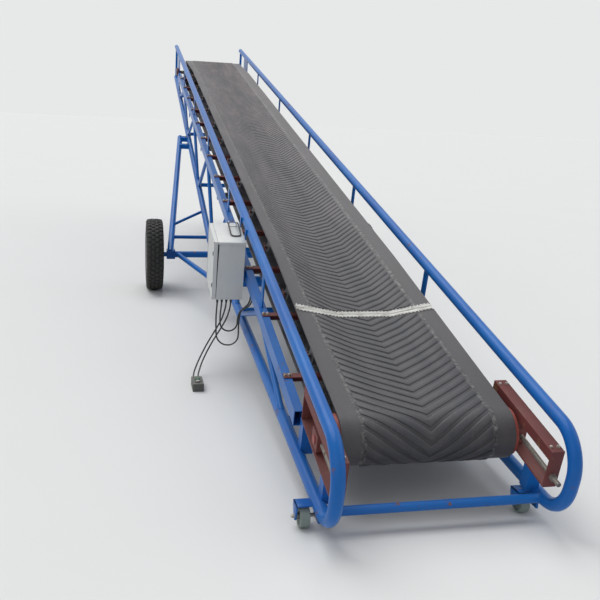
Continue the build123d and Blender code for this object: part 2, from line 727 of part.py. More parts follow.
# Tail wheels: one outside the left loop, one inside the right, each on a bolt through a bracket
TAIL_WHEELS = (
    # name, side frame, direction from the frame to the wheel
    ("left", -1, -1),
    ("right", 1, -1),
)
wheel_y = deck(0, TAIL_WHEEL_STATION, chord_height(TAIL_WHEEL_STATION)).Y
bracket_half = 5.0
for name, side, towards in TAIL_WHEELS:
    centre_x = side * SIDE_X + towards * (RAIL_R + 9 + TAIL_WHEEL_WIDE / 2)
    with BuildPart() as tail_wheel:
        with BuildSketch(Plane(origin=(centre_x, wheel_y, TAIL_WHEEL_R), z_dir=(1, 0, 0))):
            Circle(TAIL_WHEEL_R)
        extrude(amount=TAIL_WHEEL_WIDE / 2, both=True)
        fillet(tail_wheel.edges().filter_by(GeomType.CIRCLE), radius=3)
        for face_side in (-1, 1):
            face_x = centre_x + face_side * TAIL_WHEEL_WIDE / 2
            with BuildSketch(Plane(origin=(face_x, wheel_y, TAIL_WHEEL_R), z_dir=(face_side, 0, 0))):
                Circle(TAIL_WHEEL_R - 10)
                Circle(18, mode=Mode.SUBTRACT)
            extrude(amount=-9, mode=Mode.SUBTRACT)
        with BuildSketch(Plane(origin=(centre_x, wheel_y, TAIL_WHEEL_R), z_dir=(1, 0, 0))):
            Circle(TAIL_AXLE_R + 0.1)
        extrude(amount=TAIL_WHEEL_WIDE, both=True, mode=Mode.SUBTRACT)
    tail_wheel.part.label = f"tail_wheel_{name}"
    export_step(tail_wheel.part, f"parts/tail_wheel_{name}.step")

    with BuildPart() as tail_bracket:
        with BuildSketch(Plane(origin=(side * SIDE_X, wheel_y, 0), x_dir=(0, 1, 0), z_dir=(1, 0, 0))):
            with Locations((0, 66)):
                Rectangle(84, 72)
            with Locations((0, TAIL_WHEEL_R)):
                Circle(TAIL_AXLE_R + 0.1, mode=Mode.SUBTRACT)
        extrude(amount=bracket_half, both=True)
        add(frame_room[name], mode=Mode.SUBTRACT)
        with BuildSketch(side_plane(side * SIDE_X)):
            with Locations((TAIL_WHEEL_STATION, chord_height(TAIL_WHEEL_STATION) + LOOP_DEPTH / 2)):
                Rectangle(LOOP_DEPTH, LOOP_DEPTH)
        extrude(amount=bracket_half, both=True, mode=Mode.SUBTRACT)
    tail_bracket.part.label = f"tail_bracket_{name}"
    export_step(tail_bracket.part, f"parts/tail_bracket_{name}.step")

    with BuildPart() as tail_axle:
        near = side * SIDE_X - towards * (bracket_half + SEAT)
        far = centre_x + towards * (TAIL_WHEEL_WIDE / 2 + 1)
        for x, length, radius in (
            (near, abs(far - near) + 10, TAIL_AXLE_R),
            (near - towards * 8, 8, 14),
            (far, 8, 14),
        ):
            with BuildSketch(Plane(origin=(x, wheel_y, TAIL_WHEEL_R), z_dir=(towards, 0, 0))):
                Circle(radius)
            extrude(amount=length)
    tail_axle.part.label = f"tail_axle_{name}"
    export_step(tail_axle.part, f"parts/tail_axle_{name}.step")

# Undercarriage: axle, two legs that lean towards the head, a tie, braces, struts and the rear pipe
axle_y = TAIL_Y + AXLE_Y
with BuildPart() as axle_beam:
    with BuildSketch(Plane(origin=(0, axle_y, TYRE_R), z_dir=(1, 0, 0))):
        Circle(AXLE_R)
    extrude(amount=AXLE_HALF, both=True)
    for side in (-1, 1):
        with BuildSketch(Plane(origin=(side * AXLE_HALF, axle_y, TYRE_R), z_dir=(-side, 0, 0))):
            Rectangle(AXLE_SOCKET, AXLE_SOCKET)
        extrude(amount=AXLE_SOCKET)
        with BuildSketch(Plane(origin=(side * AXLE_HALF, axle_y, TYRE_R), z_dir=(side, 0, 0))):
            Circle(STUB_R)
        extrude(amount=TRACK_HALF + 62 - AXLE_HALF)
axle_beam.part.label = "axle_beam"
export_step(axle_beam.part, "parts/axle_beam.step")

leg_top_height = chord_height(LEG_TOP_STATION)


def leg_point(side, share):
    """Point on a leg's centre line, from 0 at its foot to 1 at its top."""
    foot = Vector(side * LEG_FOOT_X, axle_y, TYRE_R + LEG_FOOT_RISE)
    top = deck(side * LEG_TOP_X, LEG_TOP_STATION, leg_top_height)
    return foot + (top - foot) * share


socket_top = TYRE_R + AXLE_SOCKET / 2
for name, side in SIDES:
    foot, top = leg_point(side, -0.03), leg_point(side, 1.01)
    with BuildPart() as leg:
        add(rod(foot, top, LEG_R, LEG_WALL))
        with BuildSketch(Plane.XY.offset(socket_top + FOOT_PLATE)):
            with Locations((foot.X, foot.Y)):
                Rectangle(8 * LEG_R, 8 * LEG_R)
        extrude(amount=-8 * LEG_R, mode=Mode.SUBTRACT)
        with BuildSketch(Plane.XY.offset(socket_top)):
            with Locations((side * (AXLE_HALF - AXLE_SOCKET / 2), axle_y)):
                Rectangle(AXLE_SOCKET, AXLE_SOCKET)
        extrude(amount=FOOT_PLATE)
    leg.part.label = f"leg_{name}"
    export_step(leg.part, f"parts/leg_{name}.step")

leg_rooms = [rod(leg_point(side, 0), leg_point(side, 1.01), LEG_R + SEAT) for side in (-1, 1)]

# Leg ties: the cross tie low between the legs and a brace from each leg to the chord beside it
with BuildPart() as leg_ties:
    add(rod(leg_point(-1, TIE_T), leg_point(1, TIE_T), TIE_R, TUBE_WALL))
    for side in (-1, 1):
        station = KINK_STATION + BRACE_PAST_KINK
        chord_point = deck(side * SIDE_X, station, chord_height(station))
        add(rod(leg_point(side, BRACE_T), chord_point, BRACE_R, TUBE_WALL))
    for room in leg_rooms + list(frame_room.values()):
        add(room, mode=Mode.SUBTRACT)
leg_ties.part.label = "leg_ties"
export_step(leg_ties.part, "parts/leg_ties.step")

# Leg brackets: two plates on each leg top, bolted to the chord
with BuildPart() as leg_brackets:
    for side in (-1, 1):
        for station, long in LEG_PLATES:
            start = deck(side * (SIDE_X + RAIL_R / 2), station, chord_height(station))
            with BuildSketch(Plane(origin=start, x_dir=UP_BELT, z_dir=(side, 0, 0))):
                Rectangle(long, LEG_PLATE_DEEP)
            share = (start.Y - axle_y) / (leg_point(side, 1).Y - axle_y)
            extrude(amount=abs(leg_point(side, share).X - start.X))
    for room in leg_rooms + list(frame_room.values()):
        add(room, mode=Mode.SUBTRACT)
leg_brackets.part.label = "leg_brackets"
export_step(leg_brackets.part, "parts/leg_brackets.step")

pipe_point = deck(0, PIPE_STATION, chord_height(PIPE_STATION)) - Vector(0, 0, RAIL_R + PIPE_R + 12)
with BuildPart() as rear_pipe:
    with BuildSketch(Plane(origin=pipe_point, z_dir=(1, 0, 0))):
        Circle(PIPE_R)
        Circle(PIPE_R - PIPE_WALL, mode=Mode.SUBTRACT)
    extrude(amount=PIPE_HALF, both=True)
rear_pipe.part.label = "rear_pipe"
export_step(rear_pipe.part, "parts/rear_pipe.step")

with BuildPart() as pipe_saddles:
    for name, side in SIDES:
        with BuildSketch(Plane(origin=(side * SIDE_X, pipe_point.Y, pipe_point.Z), x_dir=(0, 1, 0),
                               z_dir=(1, 0, 0))):
            with Locations((0, 45)):
                Rectangle(110, 90)
            Circle(PIPE_R + SEAT, mode=Mode.SUBTRACT)
        extrude(amount=6, both=True)
        add(frame_room[name], mode=Mode.SUBTRACT)
pipe_saddles.part.label = "pipe_saddles"
export_step(pipe_saddles.part, "parts/pipe_saddles.step")

for name, side in SIDES:
    foot = Vector(side * STRUT_FOOT_X, axle_y, TYRE_R)
    top = Vector(side * STRUT_TOP_X, pipe_point.Y, pipe_point.Z)
    with BuildPart() as strut:
        add(rod(foot, top, STRUT_R, TUBE_WALL))
        add(rod(foot - Vector(side * 200, 0, 0), foot + Vector(side * 200, 0, 0), AXLE_R + SEAT),
            mode=Mode.SUBTRACT)
        add(rod(pipe_point, top + Vector(side * 200, 0, 0), PIPE_R + SEAT), mode=Mode.SUBTRACT)
    strut.part.label = f"strut_{name}"
    export_step(strut.part, f"parts/strut_{name}.step")

# Road wheels: tyre and disc rim on each stub axle
for name, side in SIDES:
    hub_plane = Plane(origin=(side * TRACK_HALF, axle_y, TYRE_R), x_dir=(1, 0, 0), z_dir=(0, 1, 0))
    half = TYRE_WIDE / 2
    with BuildPart() as tyre:
        with BuildSketch(hub_plane):
            with BuildLine():
                Polyline(
                    (-half + 22, RIM_R), (-half + 4, RIM_R + 26), (-half, RIM_R + 78),
                    (-half + 12, TYRE_R - 16), (-half + 28, TYRE_R - 4), (0, TYRE_R),
                    (half - 28, TYRE_R - 4), (half - 12, TYRE_R - 16), (half, RIM_R + 78),
                    (half - 4, RIM_R + 26), (half - 22, RIM_R), close=True,
                )
            make_face()
        revolve(axis=Axis((0, axle_y, TYRE_R), (1, 0, 0)))
    tyre.part.label = f"tyre_{name}"
    export_step(tyre.part, f"parts/tyre_{name}.step")

    with BuildPart() as rim:
        with BuildSketch(hub_plane):
            with BuildLine():
                Polyline(
                    (side * -70, RIM_R + 6), (side * -60, RIM_R - SEAT), (side * -48, RIM_R - SEAT),
                    (side * -40, RIM_R - 22), (side * 40, RIM_R - 22), (side * 48, RIM_R - SEAT),
                    (side * 60, RIM_R - SEAT), (side * 70, RIM_R + 6), (side * 74, RIM_R + 4),
                    (side * 64, RIM_R - 6), (side * 50, RIM_R - 6), (side * 44, RIM_R - 28),
                    (side * 26, RIM_R - 28), (side * 34, 105), (side * 20, 92), (side * 20, 46),
                    (side * 58, 44), (side * 60, 38), (side * 76, 36), (side * 76, 0), (side * 68, 0),
                    (side * 68, STUB_R + 0.1), (side * -58, STUB_R + 0.1),
                    (side * -58, 44), (side * 12, 46), (side * 12, 96), (side * 26, 110),
                    (side * 18, RIM_R - 28), (side * -44, RIM_R - 28), (side * -50, RIM_R - 6),
                    (side * -64, RIM_R - 6), (side * -74, RIM_R + 4), close=True,
                )
            make_face()
        revolve(axis=Axis((0, axle_y, TYRE_R), (1, 0, 0)))
    rim.part.label = f"rim_{name}"
    export_step(rim.part, f"parts/rim_{name}.step")

# Control cabinet: an open-fronted box on two straps, with a hinged door on its outer side
cabinet_x = -(SIDE_X + RAIL_R + CABINET_GAP)
middle_station = CABINET_STATION + CABINET_LONG / 2
middle_height = CABINET_TOP - CABINET_HIGH / 2
with BuildPart() as cabinet_box:
    with BuildSketch(side_plane(cabinet_x)):
        with Locations((middle_station, middle_height)):
            Rectangle(CABINET_LONG, CABINET_HIGH)
    extrude(amount=-CABINET_DEEP)
    with BuildSketch(side_plane(cabinet_x - CABINET_WALL)):
        with Locations((middle_station, middle_height)):
            Rectangle(CABINET_LONG - 2 * CABINET_WALL, CABINET_HIGH - 2 * CABINET_WALL)
    extrude(amount=-CABINET_DEEP, mode=Mode.SUBTRACT)
cabinet_box.part.label = "cabinet_box"
export_step(cabinet_box.part, "parts/cabinet_box.step")

door_x = cabinet_x - CABINET_DEEP - DOOR_GAP
hinge_station = CABINET_STATION + CABINET_LONG + HINGE_GAP
HINGE_HEIGHTS = (CABINET_TOP - 70, CABINET_TOP - CABINET_HIGH + 70)
with BuildPart() as cabinet_door:
    with BuildSketch(side_plane(door_x)):
        with Locations((middle_station, middle_height)):
            Rectangle(CABINET_LONG, CABINET_HIGH)
    extrude(amount=-DOOR_THICK)
    with BuildSketch(side_plane(door_x)):
        with Locations((middle_station, middle_height)):
            Rectangle(CABINET_LONG - 2 * CABINET_WALL, CABINET_HIGH - 2 * CABINET_WALL)
    extrude(amount=CABINET_WALL - DOOR_THICK, mode=Mode.SUBTRACT)
    for height in HINGE_HEIGHTS:
        with BuildSketch(Plane(origin=deck(door_x, hinge_station, height + SEAT), z_dir=OFF_DECK)):
            Circle(HINGE_R)
        extrude(amount=HINGE_HALF - SEAT)
        with BuildSketch(side_plane(door_x)):
            with Locations((hinge_station - HINGE_GAP / 2, height + (HINGE_HALF + SEAT) / 2)):
                Rectangle(HINGE_GAP, HINGE_HALF - SEAT)
        extrude(amount=-HINGE_LEAF)
        with BuildSketch(Plane(origin=deck(door_x, hinge_station, height), z_dir=OFF_DECK)):
            Circle(HINGE_PIN_R + SEAT / 2)
        extrude(amount=HINGE_HALF, mode=Mode.SUBTRACT)
cabinet_door.part.label = "cabinet_door"
export_step(cabinet_door.part, "parts/cabinet_door.step")

# Hinges: on each, the box's knuckle carries the pin that goes up through the door's knuckle
with BuildPart() as cabinet_hinges:
    for height in HINGE_HEIGHTS:
        foot = Plane(origin=deck(door_x, hinge_station, height - HINGE_HALF), z_dir=OFF_DECK)
        with BuildSketch(foot):
            Circle(HINGE_R)
        extrude(amount=HINGE_HALF)
        with BuildSketch(foot):
            Circle(HINGE_PIN_R)
        extrude(amount=2 * HINGE_HALF)
        with BuildSketch(side_plane(door_x + DOOR_GAP + SEAT)):
            with Locations((hinge_station - HINGE_GAP / 2 + SEAT / 2, height - HINGE_HALF / 2)):
                Rectangle(HINGE_GAP - SEAT, HINGE_HALF)
        extrude(amount=HINGE_LEAF)
cabinet_hinges.part.label = "cabinet_hinges"
export_step(cabinet_hinges.part, "parts/cabinet_hinges.step")

# Straps: each runs down the cabinet's back, from a foot on the rail to a foot on the stringer
strap_back = -(SIDE_X + RAIL_R + CABINET_GAP - SEAT)
with BuildPart() as cabinet_straps:
    for station in (CABINET_STATION + STRAP_INSET, CABINET_STATION + CABINET_LONG - STRAP_INSET):
        for height, high, face_x in (
            ((STRAP_TOP + STRAP_FOOT) / 2, STRAP_TOP - STRAP_FOOT, strap_back + STRAP_THICK),
            (0, STRAP_WIDE, -SIDE_X - RAIL_R / 2),
            (STRINGER_TOP - STRINGER_DEEP / 2, STRAP_WIDE, -SIDE_X - STRINGER_WIDE / 2 - SEAT),
        ):
            with BuildSketch(side_plane(strap_back)):
                with Locations((station, height)):
                    Rectangle(STRAP_WIDE, high)
            extrude(amount=face_x - strap_back)
    add(frame_room["left"], mode=Mode.SUBTRACT)
cabinet_straps.part.label = "cabinet_straps"
export_step(cabinet_straps.part, "parts/cabinet_straps.step")


def gland(origin, direction):
    """Cable gland: a hexagon nut, then a boot that tapers towards the cord."""
    foot = Plane(origin=origin, z_dir=direction)
    with BuildPart() as body:
        with BuildSketch(foot):
            RegularPolygon(GLAND_NUT_R, 6)
        extrude(amount=GLAND_NUT)
        with BuildSketch(foot.offset(GLAND_NUT)):
            Circle(BOOT_R)
        with BuildSketch(foot.offset(GLAND_LONG)):
            Circle(BOOT_TIP_R)
        loft()
    return body.part


# Glands: four in a row under the cabinet and two under the left stringer
cabinet_foot = CABINET_TOP - CABINET_HIGH
with BuildPart() as cable_glands:
    for x in GLAND_X:
        add(gland(deck(x, GLAND_STATION, cabinet_foot), -OFF_DECK))
    for station in (INNER_GLAND, OUTER_GLAND):
        add(gland(deck(-SIDE_X, station, stringer_foot), -OFF_DECK))
cable_glands.part.label = "cable_glands"
export_step(cable_glands.part, "parts/cable_glands.step")

# Pendant: a two-button control station that lies on the floor, with a boot for each of its leads
pendant_far = PENDANT_Y + PENDANT_LONG / 2
with BuildPart() as pendant:
    with BuildSketch(Plane.XY):
        with Locations((PENDANT_X, PENDANT_Y)):
            RectangleRounded(PENDANT_WIDE, PENDANT_LONG, PENDANT_CORNER)
    extrude(amount=PENDANT_HIGH)
    fillet(pendant.edges().filter_by(Axis.Z, reverse=True).group_by(Axis.Z)[-1], radius=4)
    with BuildSketch(Plane.XY.offset(PENDANT_HIGH)):
        for along in BUTTON_PLACES:
            with Locations((PENDANT_X, PENDANT_Y + along)):
                Circle(BUTTON_R)
    extrude(amount=BUTTON_HIGH)
    for offset in (-1, 1):
        lead_x = PENDANT_X + offset * LEAD_OFFSET
        foot = Plane(origin=(lead_x, pendant_far, PENDANT_HIGH / 2), z_dir=(0, 1, 0))
        with BuildSketch(foot):
            Circle(BOOT_R)
        with BuildSketch(foot.offset(GLAND_LONG)):
            Circle(BOOT_TIP_R)
        loft()
pendant.part.label = "pendant"
export_step(pendant.part, "parts/pendant.step")


def cord(name, route):
    """Cord on the route: straight runs joined by arcs as large as the two runs at a corner allow."""
    points = [Vector(*point) for point in route]
    radii = []
    for before, here, after in zip(points, points[1:], points[2:]):
        arrive, leave = here - before, after - here
        half_turn = radians(arrive.get_angle(leave)) / 2
        radii.append(ARC_SHARE * min(arrive.length, leave.length) / tan(half_turn))
    with BuildPart() as tube:
        with BuildLine() as route_line:
            FilletPolyline(*points, radius=radii)
        centre_line = route_line.wire()
        with BuildSketch(Plane(origin=centre_line @ 0, z_dir=centre_line % 0)):
            Circle(CORD_R)
        sweep(path=centre_line)
    full_volume = centre_line.length * pi * CORD_R**2
    print(name, "length", round(centre_line.length), "volume share", round(tube.part.volume / full_volume, 3))
    print("  radii", [round(radius) for radius in radii])
    tube.part.label = name
    export_step(tube.part, f"parts/{name}.step")


def gland_mouth(x, station, height):
    """Where a gland that hangs from a deck point lets its cord out."""
    return deck(x, station, height) - OFF_DECK * GLAND_LONG


def out_of(mouth):
    """The route's first two points: the mouth and a short way straight out of it."""
    return [tuple(mouth), tuple(mouth - OFF_DECK * CORD_STRAIGHT)]


# Motor leads: each hangs in a loop under the cabinet and goes up into the left stringer
outer_mouth, inner_mouth, lead_a_mouth, lead_b_mouth = (
    gland_mouth(x, GLAND_STATION, cabinet_foot) for x in GLAND_X
)
cord("motor_lead_outer", out_of(outer_mouth) + [
    (-699, -2745, 390), (-700.5, -2744, 333), (-699, -2744, 274), (-697, -2746, 218), (-678, -2752, 184),
    (-645.5, -2761, 165), (-607.5, -2772, 165), (-575, -2783, 184), (-556, -2790, 217), (-555, -2796, 262),
    (-556, -2802, 310), (-556, -2814, 358), (-554, -2838, 402), (-548, -2872, 434), (-536, -2910, 452),
    (-519, -2943, 471),
] + out_of(gland_mouth(-SIDE_X, OUTER_GLAND, stringer_foot))[::-1])
cord("motor_lead_inner", out_of(inner_mouth) + [
    (-671, -2748, 396), (-675, -2754, 348), (-674, -2758, 304), (-659, -2761, 277), (-632.5, -2764, 261.5),
    (-602, -2765, 261.5), (-575.5, -2766, 277), (-560.5, -2768, 304), (-561, -2773, 338), (-559, -2789, 374),
    (-553, -2816, 406), (-541, -2847, 431), (-524, -2876, 455), (-508, -2899, 483),
] + out_of(gland_mouth(-SIDE_X, INNER_GLAND, stringer_foot))[::-1])

# Pendant leads: both run down to the floor and into the pendant's far end
cord("pendant_lead_a", out_of(lead_a_mouth) + [
    (-646, -2757, 398), (-667, -2785, 350), (-700, -2810, 300), (-738, -2830, 245), (-775, -2850, 188),
    (-808, -2875, 132), (-836, -2905, 82), (-856, -2940, 45), (-866, -2983, 25),
    (PENDANT_X - LEAD_OFFSET, pendant_far + GLAND_LONG, PENDANT_HIGH / 2),
])
cord("pendant_lead_b", out_of(lead_b_mouth) + [
    (-614, -2750, 395), (-635, -2770, 345), (-668, -2790, 295), (-705, -2807, 242), (-742, -2825, 186),
    (-775, -2848, 131), (-803, -2880, 82), (-822, -2922, 46), (-836, -2974, 25),
    (PENDANT_X + LEAD_OFFSET, pendant_far + GLAND_LONG, PENDANT_HIGH / 2),
])
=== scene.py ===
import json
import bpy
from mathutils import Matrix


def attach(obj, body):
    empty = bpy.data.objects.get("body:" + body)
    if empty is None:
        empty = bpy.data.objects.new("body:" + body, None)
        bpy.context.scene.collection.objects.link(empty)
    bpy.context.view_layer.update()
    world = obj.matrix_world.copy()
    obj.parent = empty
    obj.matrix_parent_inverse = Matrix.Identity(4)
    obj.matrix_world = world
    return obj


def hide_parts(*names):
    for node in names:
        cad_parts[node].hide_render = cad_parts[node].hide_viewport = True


bl_info = {
    "name": "Belt conveyor dressing",
    "version": (1, 0, 0),
    "blender": (4, 5, 0),
    "location": "3D View > Sidebar > Conveyor",
    "description": "Finishes, small fittings, cords and stage for a mobile belt conveyor",
    "category": "Object",
}

from math import atan, atan2, cos, pi, radians, sin, sqrt, tan

import bpy
from mathutils import Matrix, Vector

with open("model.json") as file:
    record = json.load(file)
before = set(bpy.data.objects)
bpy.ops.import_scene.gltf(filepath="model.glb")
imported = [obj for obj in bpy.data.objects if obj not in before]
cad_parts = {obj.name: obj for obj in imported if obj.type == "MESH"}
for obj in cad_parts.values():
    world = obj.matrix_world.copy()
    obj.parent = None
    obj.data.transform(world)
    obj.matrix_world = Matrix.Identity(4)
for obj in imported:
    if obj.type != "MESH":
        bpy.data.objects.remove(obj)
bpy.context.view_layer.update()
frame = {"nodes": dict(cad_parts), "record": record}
SLOT_OF_NODE = {row["node"]: row["material_slot"] for row in frame["record"]["subparts"]}
FINISHES = {}


def moved(x, y, z):
    """Place shifted from the origin."""
    return Matrix.Translation((x, y, z))


def turned(angle, axis):
    """Place turned round an axis through the origin."""
    return Matrix.Rotation(angle, 4, axis)


# Sizes that the dressing shares with the solids, in metres. A deck point is x, its station along the slope from the
# rails' datum, and its height square off the slope from the rails' centre lines.

# The slope, and the rails' datum on it
INCLINE = radians(12)
TAIL_Y = -4.91223
RAIL_Z = 0.505
DECK = moved(0, TAIL_Y, RAIL_Z) @ turned(INCLINE, "X")
ALONG_DECK = (DECK.to_3x3() @ Vector((0, 1, 0))).normalized()
OFF_DECK = (DECK.to_3x3() @ Vector((0, 0, 1))).normalized()

# Frame: rails, kinked lower chord, stringers, and the panels of webs and posts between them
SIDE_X = 0.5
RAIL_R = 0.03
RAIL_END = 10.19
END_POST = RAIL_END - 0.06
LOOP_STATION = -0.255
LOOP_DEPTH = 0.37
KINK_STATION = 4.4
KINK_DEPTH = 0.965
CHORD_END_DEPTH = 0.459
STRINGER_TOP = -0.255
STRINGER_FOOT = -0.335
STRINGER_ENDS = (0.44, 9.36)
PANEL = 1.69
LOW_STATIONS = [0.715 + PANEL * number for number in range(6)]
POST_STATIONS = [1.56 + PANEL * number for number in range(5)]
WEB_R = 0.017
WEB_SHIFT = 0.06
CROSS_R = 0.021
TAIL_CROSS = -0.1
POST_HALF = 0.03
LEG_R = 0.03
LEG_FOOT = (0.868, 0.397)
LEG_TOP = (0.612, 7.3)
BEAM_TOP = 0.382
BRACKET_X = 0.545
BRACKET_STATIONS = (7.28, 7.01)

# Belt: flat on the drums and folded into a trough between them; each drum has its station and radius
BELT_HALF = 0.4
FLAT_TOP = -0.1
FOLD_X = 0.15
TROUGH_TOP = -0.135
TROUGH_ANGLE = radians(20)
TROUGH_RUN = (1.85, 8.43)
TAIL_DRUM = (0.17, 0.11)
HEAD_DRUM = (9.53, 0.16)
BELT_THICK = 0.01
SPLICE_STATION = 1.16
SPLICE_HALF = 0.045
IDLERS = [0.75 + 0.68 * number for number in range(13)]
TAKEUP_X = 0.465
TAKEUP_TOP = -0.096

# Wheels
AXLE_Y = TAIL_Y + 4.57
TYRE_R = 0.335
TRACK_HALF = 1.02
TAIL_WHEELS = (("left", -0.56), ("right", 0.44))
TAIL_WHEEL_STATION = -0.02
TAIL_WHEEL_R = 0.05

# Cabinet, its glands and the pendant, whose place is x, y and the height of its top
CABINET_START = 2.045
CABINET_LONG = 0.35
CABINET_TOP = -0.05
CABINET_FOOT = CABINET_TOP - 0.4
CABINET_X = -0.54
CABINET_OUTER = CABINET_X - 0.175
DOOR_FACE = -0.738
STRAP_FACE = -0.5348
GLANDS = (
    # x, station and height of each gland's foot: four under the cabinet, two under the left stringer
    (-0.695, 2.11, CABINET_FOOT),
    (-0.665, 2.11, CABINET_FOOT),
    (-0.635, 2.11, CABINET_FOOT),
    (-0.605, 2.11, CABINET_FOOT),
    (-0.5, 1.9, STRINGER_FOOT),
    (-0.5, 1.96, STRINGER_FOOT),
)
GLAND_LONG = 0.026
STRAIGHT_RUN = 0.04
PENDANT = (-0.851, -3.125, 0.05)

OLD_RUST = (0.13, 0.05, 0.025, 1)
NEW_RUST = (0.32, 0.14, 0.06, 1)


def deck(x, station, height):
    """Model point of a deck point."""
    return DECK @ Vector((x, station, height))


def chord_height(station):
    """Height of the lower chord's centre line."""
    if station < KINK_STATION:
        fall = (KINK_DEPTH - LOOP_DEPTH) / (KINK_STATION - LOOP_STATION)
        return -LOOP_DEPTH - fall * (station - LOOP_STATION)
    return -KINK_DEPTH + (KINK_DEPTH - CHORD_END_DEPTH) * (station - KINK_STATION) / (RAIL_END - KINK_STATION)


def belt_section(station):
    """Height of the belt's middle and x and height of its edge at a station of the upper run."""
    wing = BELT_HALF - FOLD_X
    trough = (TROUGH_TOP, FOLD_X + wing * cos(TROUGH_ANGLE), TROUGH_TOP + wing * sin(TROUGH_ANGLE))
    flat = (FLAT_TOP, BELT_HALF, FLAT_TOP)
    into = (station - TAIL_DRUM[0]) / (TROUGH_RUN[0] - TAIL_DRUM[0])
    away = (HEAD_DRUM[0] - station) / (HEAD_DRUM[0] - TROUGH_RUN[1])
    share = max(0.0, min(1.0, into, away))
    return [a + (b - a) * share for a, b in zip(flat, trough)]


def belt_loop():
    """Outer radii at tail and head, slope of the return run, and lengths of the loop's four parts from the tail."""
    (tail, tail_r), (head, head_r) = TAIL_DRUM, HEAD_DRUM
    tail_r, head_r = tail_r + BELT_THICK, head_r + BELT_THICK
    slope = 2 * atan((head_r - tail_r) / (head - tail))
    back = sqrt((head - tail) ** 2 - (head_r - tail_r) ** 2)
    return tail_r, head_r, slope, (head - tail, head_r * (pi - slope), back, tail_r * (pi + slope))


TAIL_OUTER, HEAD_OUTER, RETURN_SLOPE, LOOP_PARTS = belt_loop()


def on_belt(across, along, lift):
    """Model point on the belt's outer face: across it, along its loop from the tail, and off it."""
    tail, head = TAIL_DRUM[0], HEAD_DRUM[0]
    tail_axis, head_axis = FLAT_TOP - TAIL_OUTER, FLAT_TOP - HEAD_OUTER
    top, round_head, back = LOOP_PARTS[:3]
    along %= sum(LOOP_PARTS)
    if along <= top:
        station = tail + along
        middle, edge_x, edge_height = belt_section(station)
        past = abs(across) - FOLD_X
        if past <= 0:
            return deck(across, station, middle + lift)
        share = past / (BELT_HALF - FOLD_X)
        tilt = atan2(edge_height - middle, edge_x - FOLD_X)
        x = FOLD_X + (edge_x - FOLD_X) * share - lift * sin(tilt)
        return deck(x if across > 0 else -x, station, middle + (edge_height - middle) * share + lift * cos(tilt))
    along -= top
    if along <= round_head:
        turn, reach = along / HEAD_OUTER, HEAD_OUTER + lift
        return deck(across, head + reach * sin(turn), head_axis + reach * cos(turn))
    along -= round_head
    turn = pi - RETURN_SLOPE
    if along <= back:
        station = head + HEAD_OUTER * sin(turn) - along * cos(RETURN_SLOPE) - lift * sin(RETURN_SLOPE)
        height = head_axis + HEAD_OUTER * cos(turn) + along * sin(RETURN_SLOPE) - lift * cos(RETURN_SLOPE)
        return deck(across, station, height)
    turn += (along - back) / TAIL_OUTER
    reach = TAIL_OUTER + lift
    return deck(across, tail + reach * sin(turn), tail_axis + reach * cos(turn))


# Modelling helpers

def fresh():
    """Leaves edit mode and deselects everything, so that an operator acts on the next piece alone."""
    if bpy.context.object and bpy.context.object.mode != "OBJECT":
        bpy.ops.object.mode_set(mode="OBJECT")
    bpy.ops.object.select_all(action="DESELECT")


def alone(piece):
    """Makes a piece the only selected one."""
    fresh()
    piece.select_set(True)
    bpy.context.view_layer.objects.active = piece


def edit(piece, select="SELECT"):
    """Opens a piece in edit mode with all or none of it selected, or as it was where select is None."""
    alone(piece)
    bpy.ops.object.mode_set(mode="EDIT")
    if select:
        bpy.ops.mesh.select_all(action=select)


def leave():
    """Goes back to object mode."""
    bpy.ops.object.mode_set(mode="OBJECT")


def modified(piece, name, kind, **settings):
    """Adds a modifier with its settings and applies it."""
    alone(piece)
    modifier = piece.modifiers.new(name, kind)
    for key, value in settings.items():
        setattr(modifier, key, value)
    bpy.ops.object.modifier_apply(modifier=modifier.name)


def outward(piece):
    """Merges doubled points and turns all faces outwards."""
    edit(piece)
    bpy.ops.mesh.remove_doubles(threshold=0.00001)
    bpy.ops.mesh.normals_make_consistent(inside=False)
    leave()


def aim(origin, direction, roll=0.0):
    """Place whose own Z points along the direction."""
    turn = Vector(direction).to_track_quat("Z", "Y").to_matrix().to_4x4()
    return Matrix.Translation(Vector(origin)) @ turn @ turned(roll, "Z")


def outline(name, points, filled=True):
    """Flat closed line through points in XY, drawn from a circle of as many corners."""
    fresh()
    bpy.ops.mesh.primitive_circle_add(vertices=len(points), fill_type="NGON" if filled else "NOTHING")
    piece = bpy.context.object
    piece.name = name
    for corner, point in zip(piece.data.vertices, points):
        corner.co = (point[0], point[1], 0)
    return piece


def round_edges(piece, width, segments=2):
    """Bevels a piece's sharp edges."""
    modified(piece, "edges", "BEVEL", width=width, segments=segments, limit_method="ANGLE", angle_limit=radians(40))


def slab(name, points, thick, place=Matrix(), edge=0.0, segments=2):
    """Plate with the outline, extruded along Z and with its edges rounded, then put in place."""
    piece = outline(name, points)
    edit(piece)
    bpy.ops.mesh.extrude_region_move(TRANSFORM_OT_translate={"value": (0, 0, thick)})
    leave()
    outward(piece)
    if edge:
        round_edges(piece, edge, segments)
    piece.data.transform(place)
    return piece


def block(name, low, high, edge=0.0, segments=2, place=Matrix()):
    """Box between two corners with rounded edges."""
    points = ((low[0], low[1]), (high[0], low[1]), (high[0], high[1]), (low[0], high[1]))
    lift = moved(0, 0, low[2])
    return slab(name, points, high[2] - low[2], place @ lift, edge, segments)


def lathe(name, profile, steps, place=Matrix()):
    """Round piece: a profile of (radius, z) points spun about Z, then put in place."""
    piece = outline(name, profile, filled=False)
    piece.data.transform(turned(pi / 2, "X"))
    edit(piece)
    bpy.ops.mesh.spin(steps=steps, angle=2 * pi, center=(0, 0, 0), axis=(0, 0, 1))
    leave()
    outward(piece)
    piece.data.transform(place)
    return piece


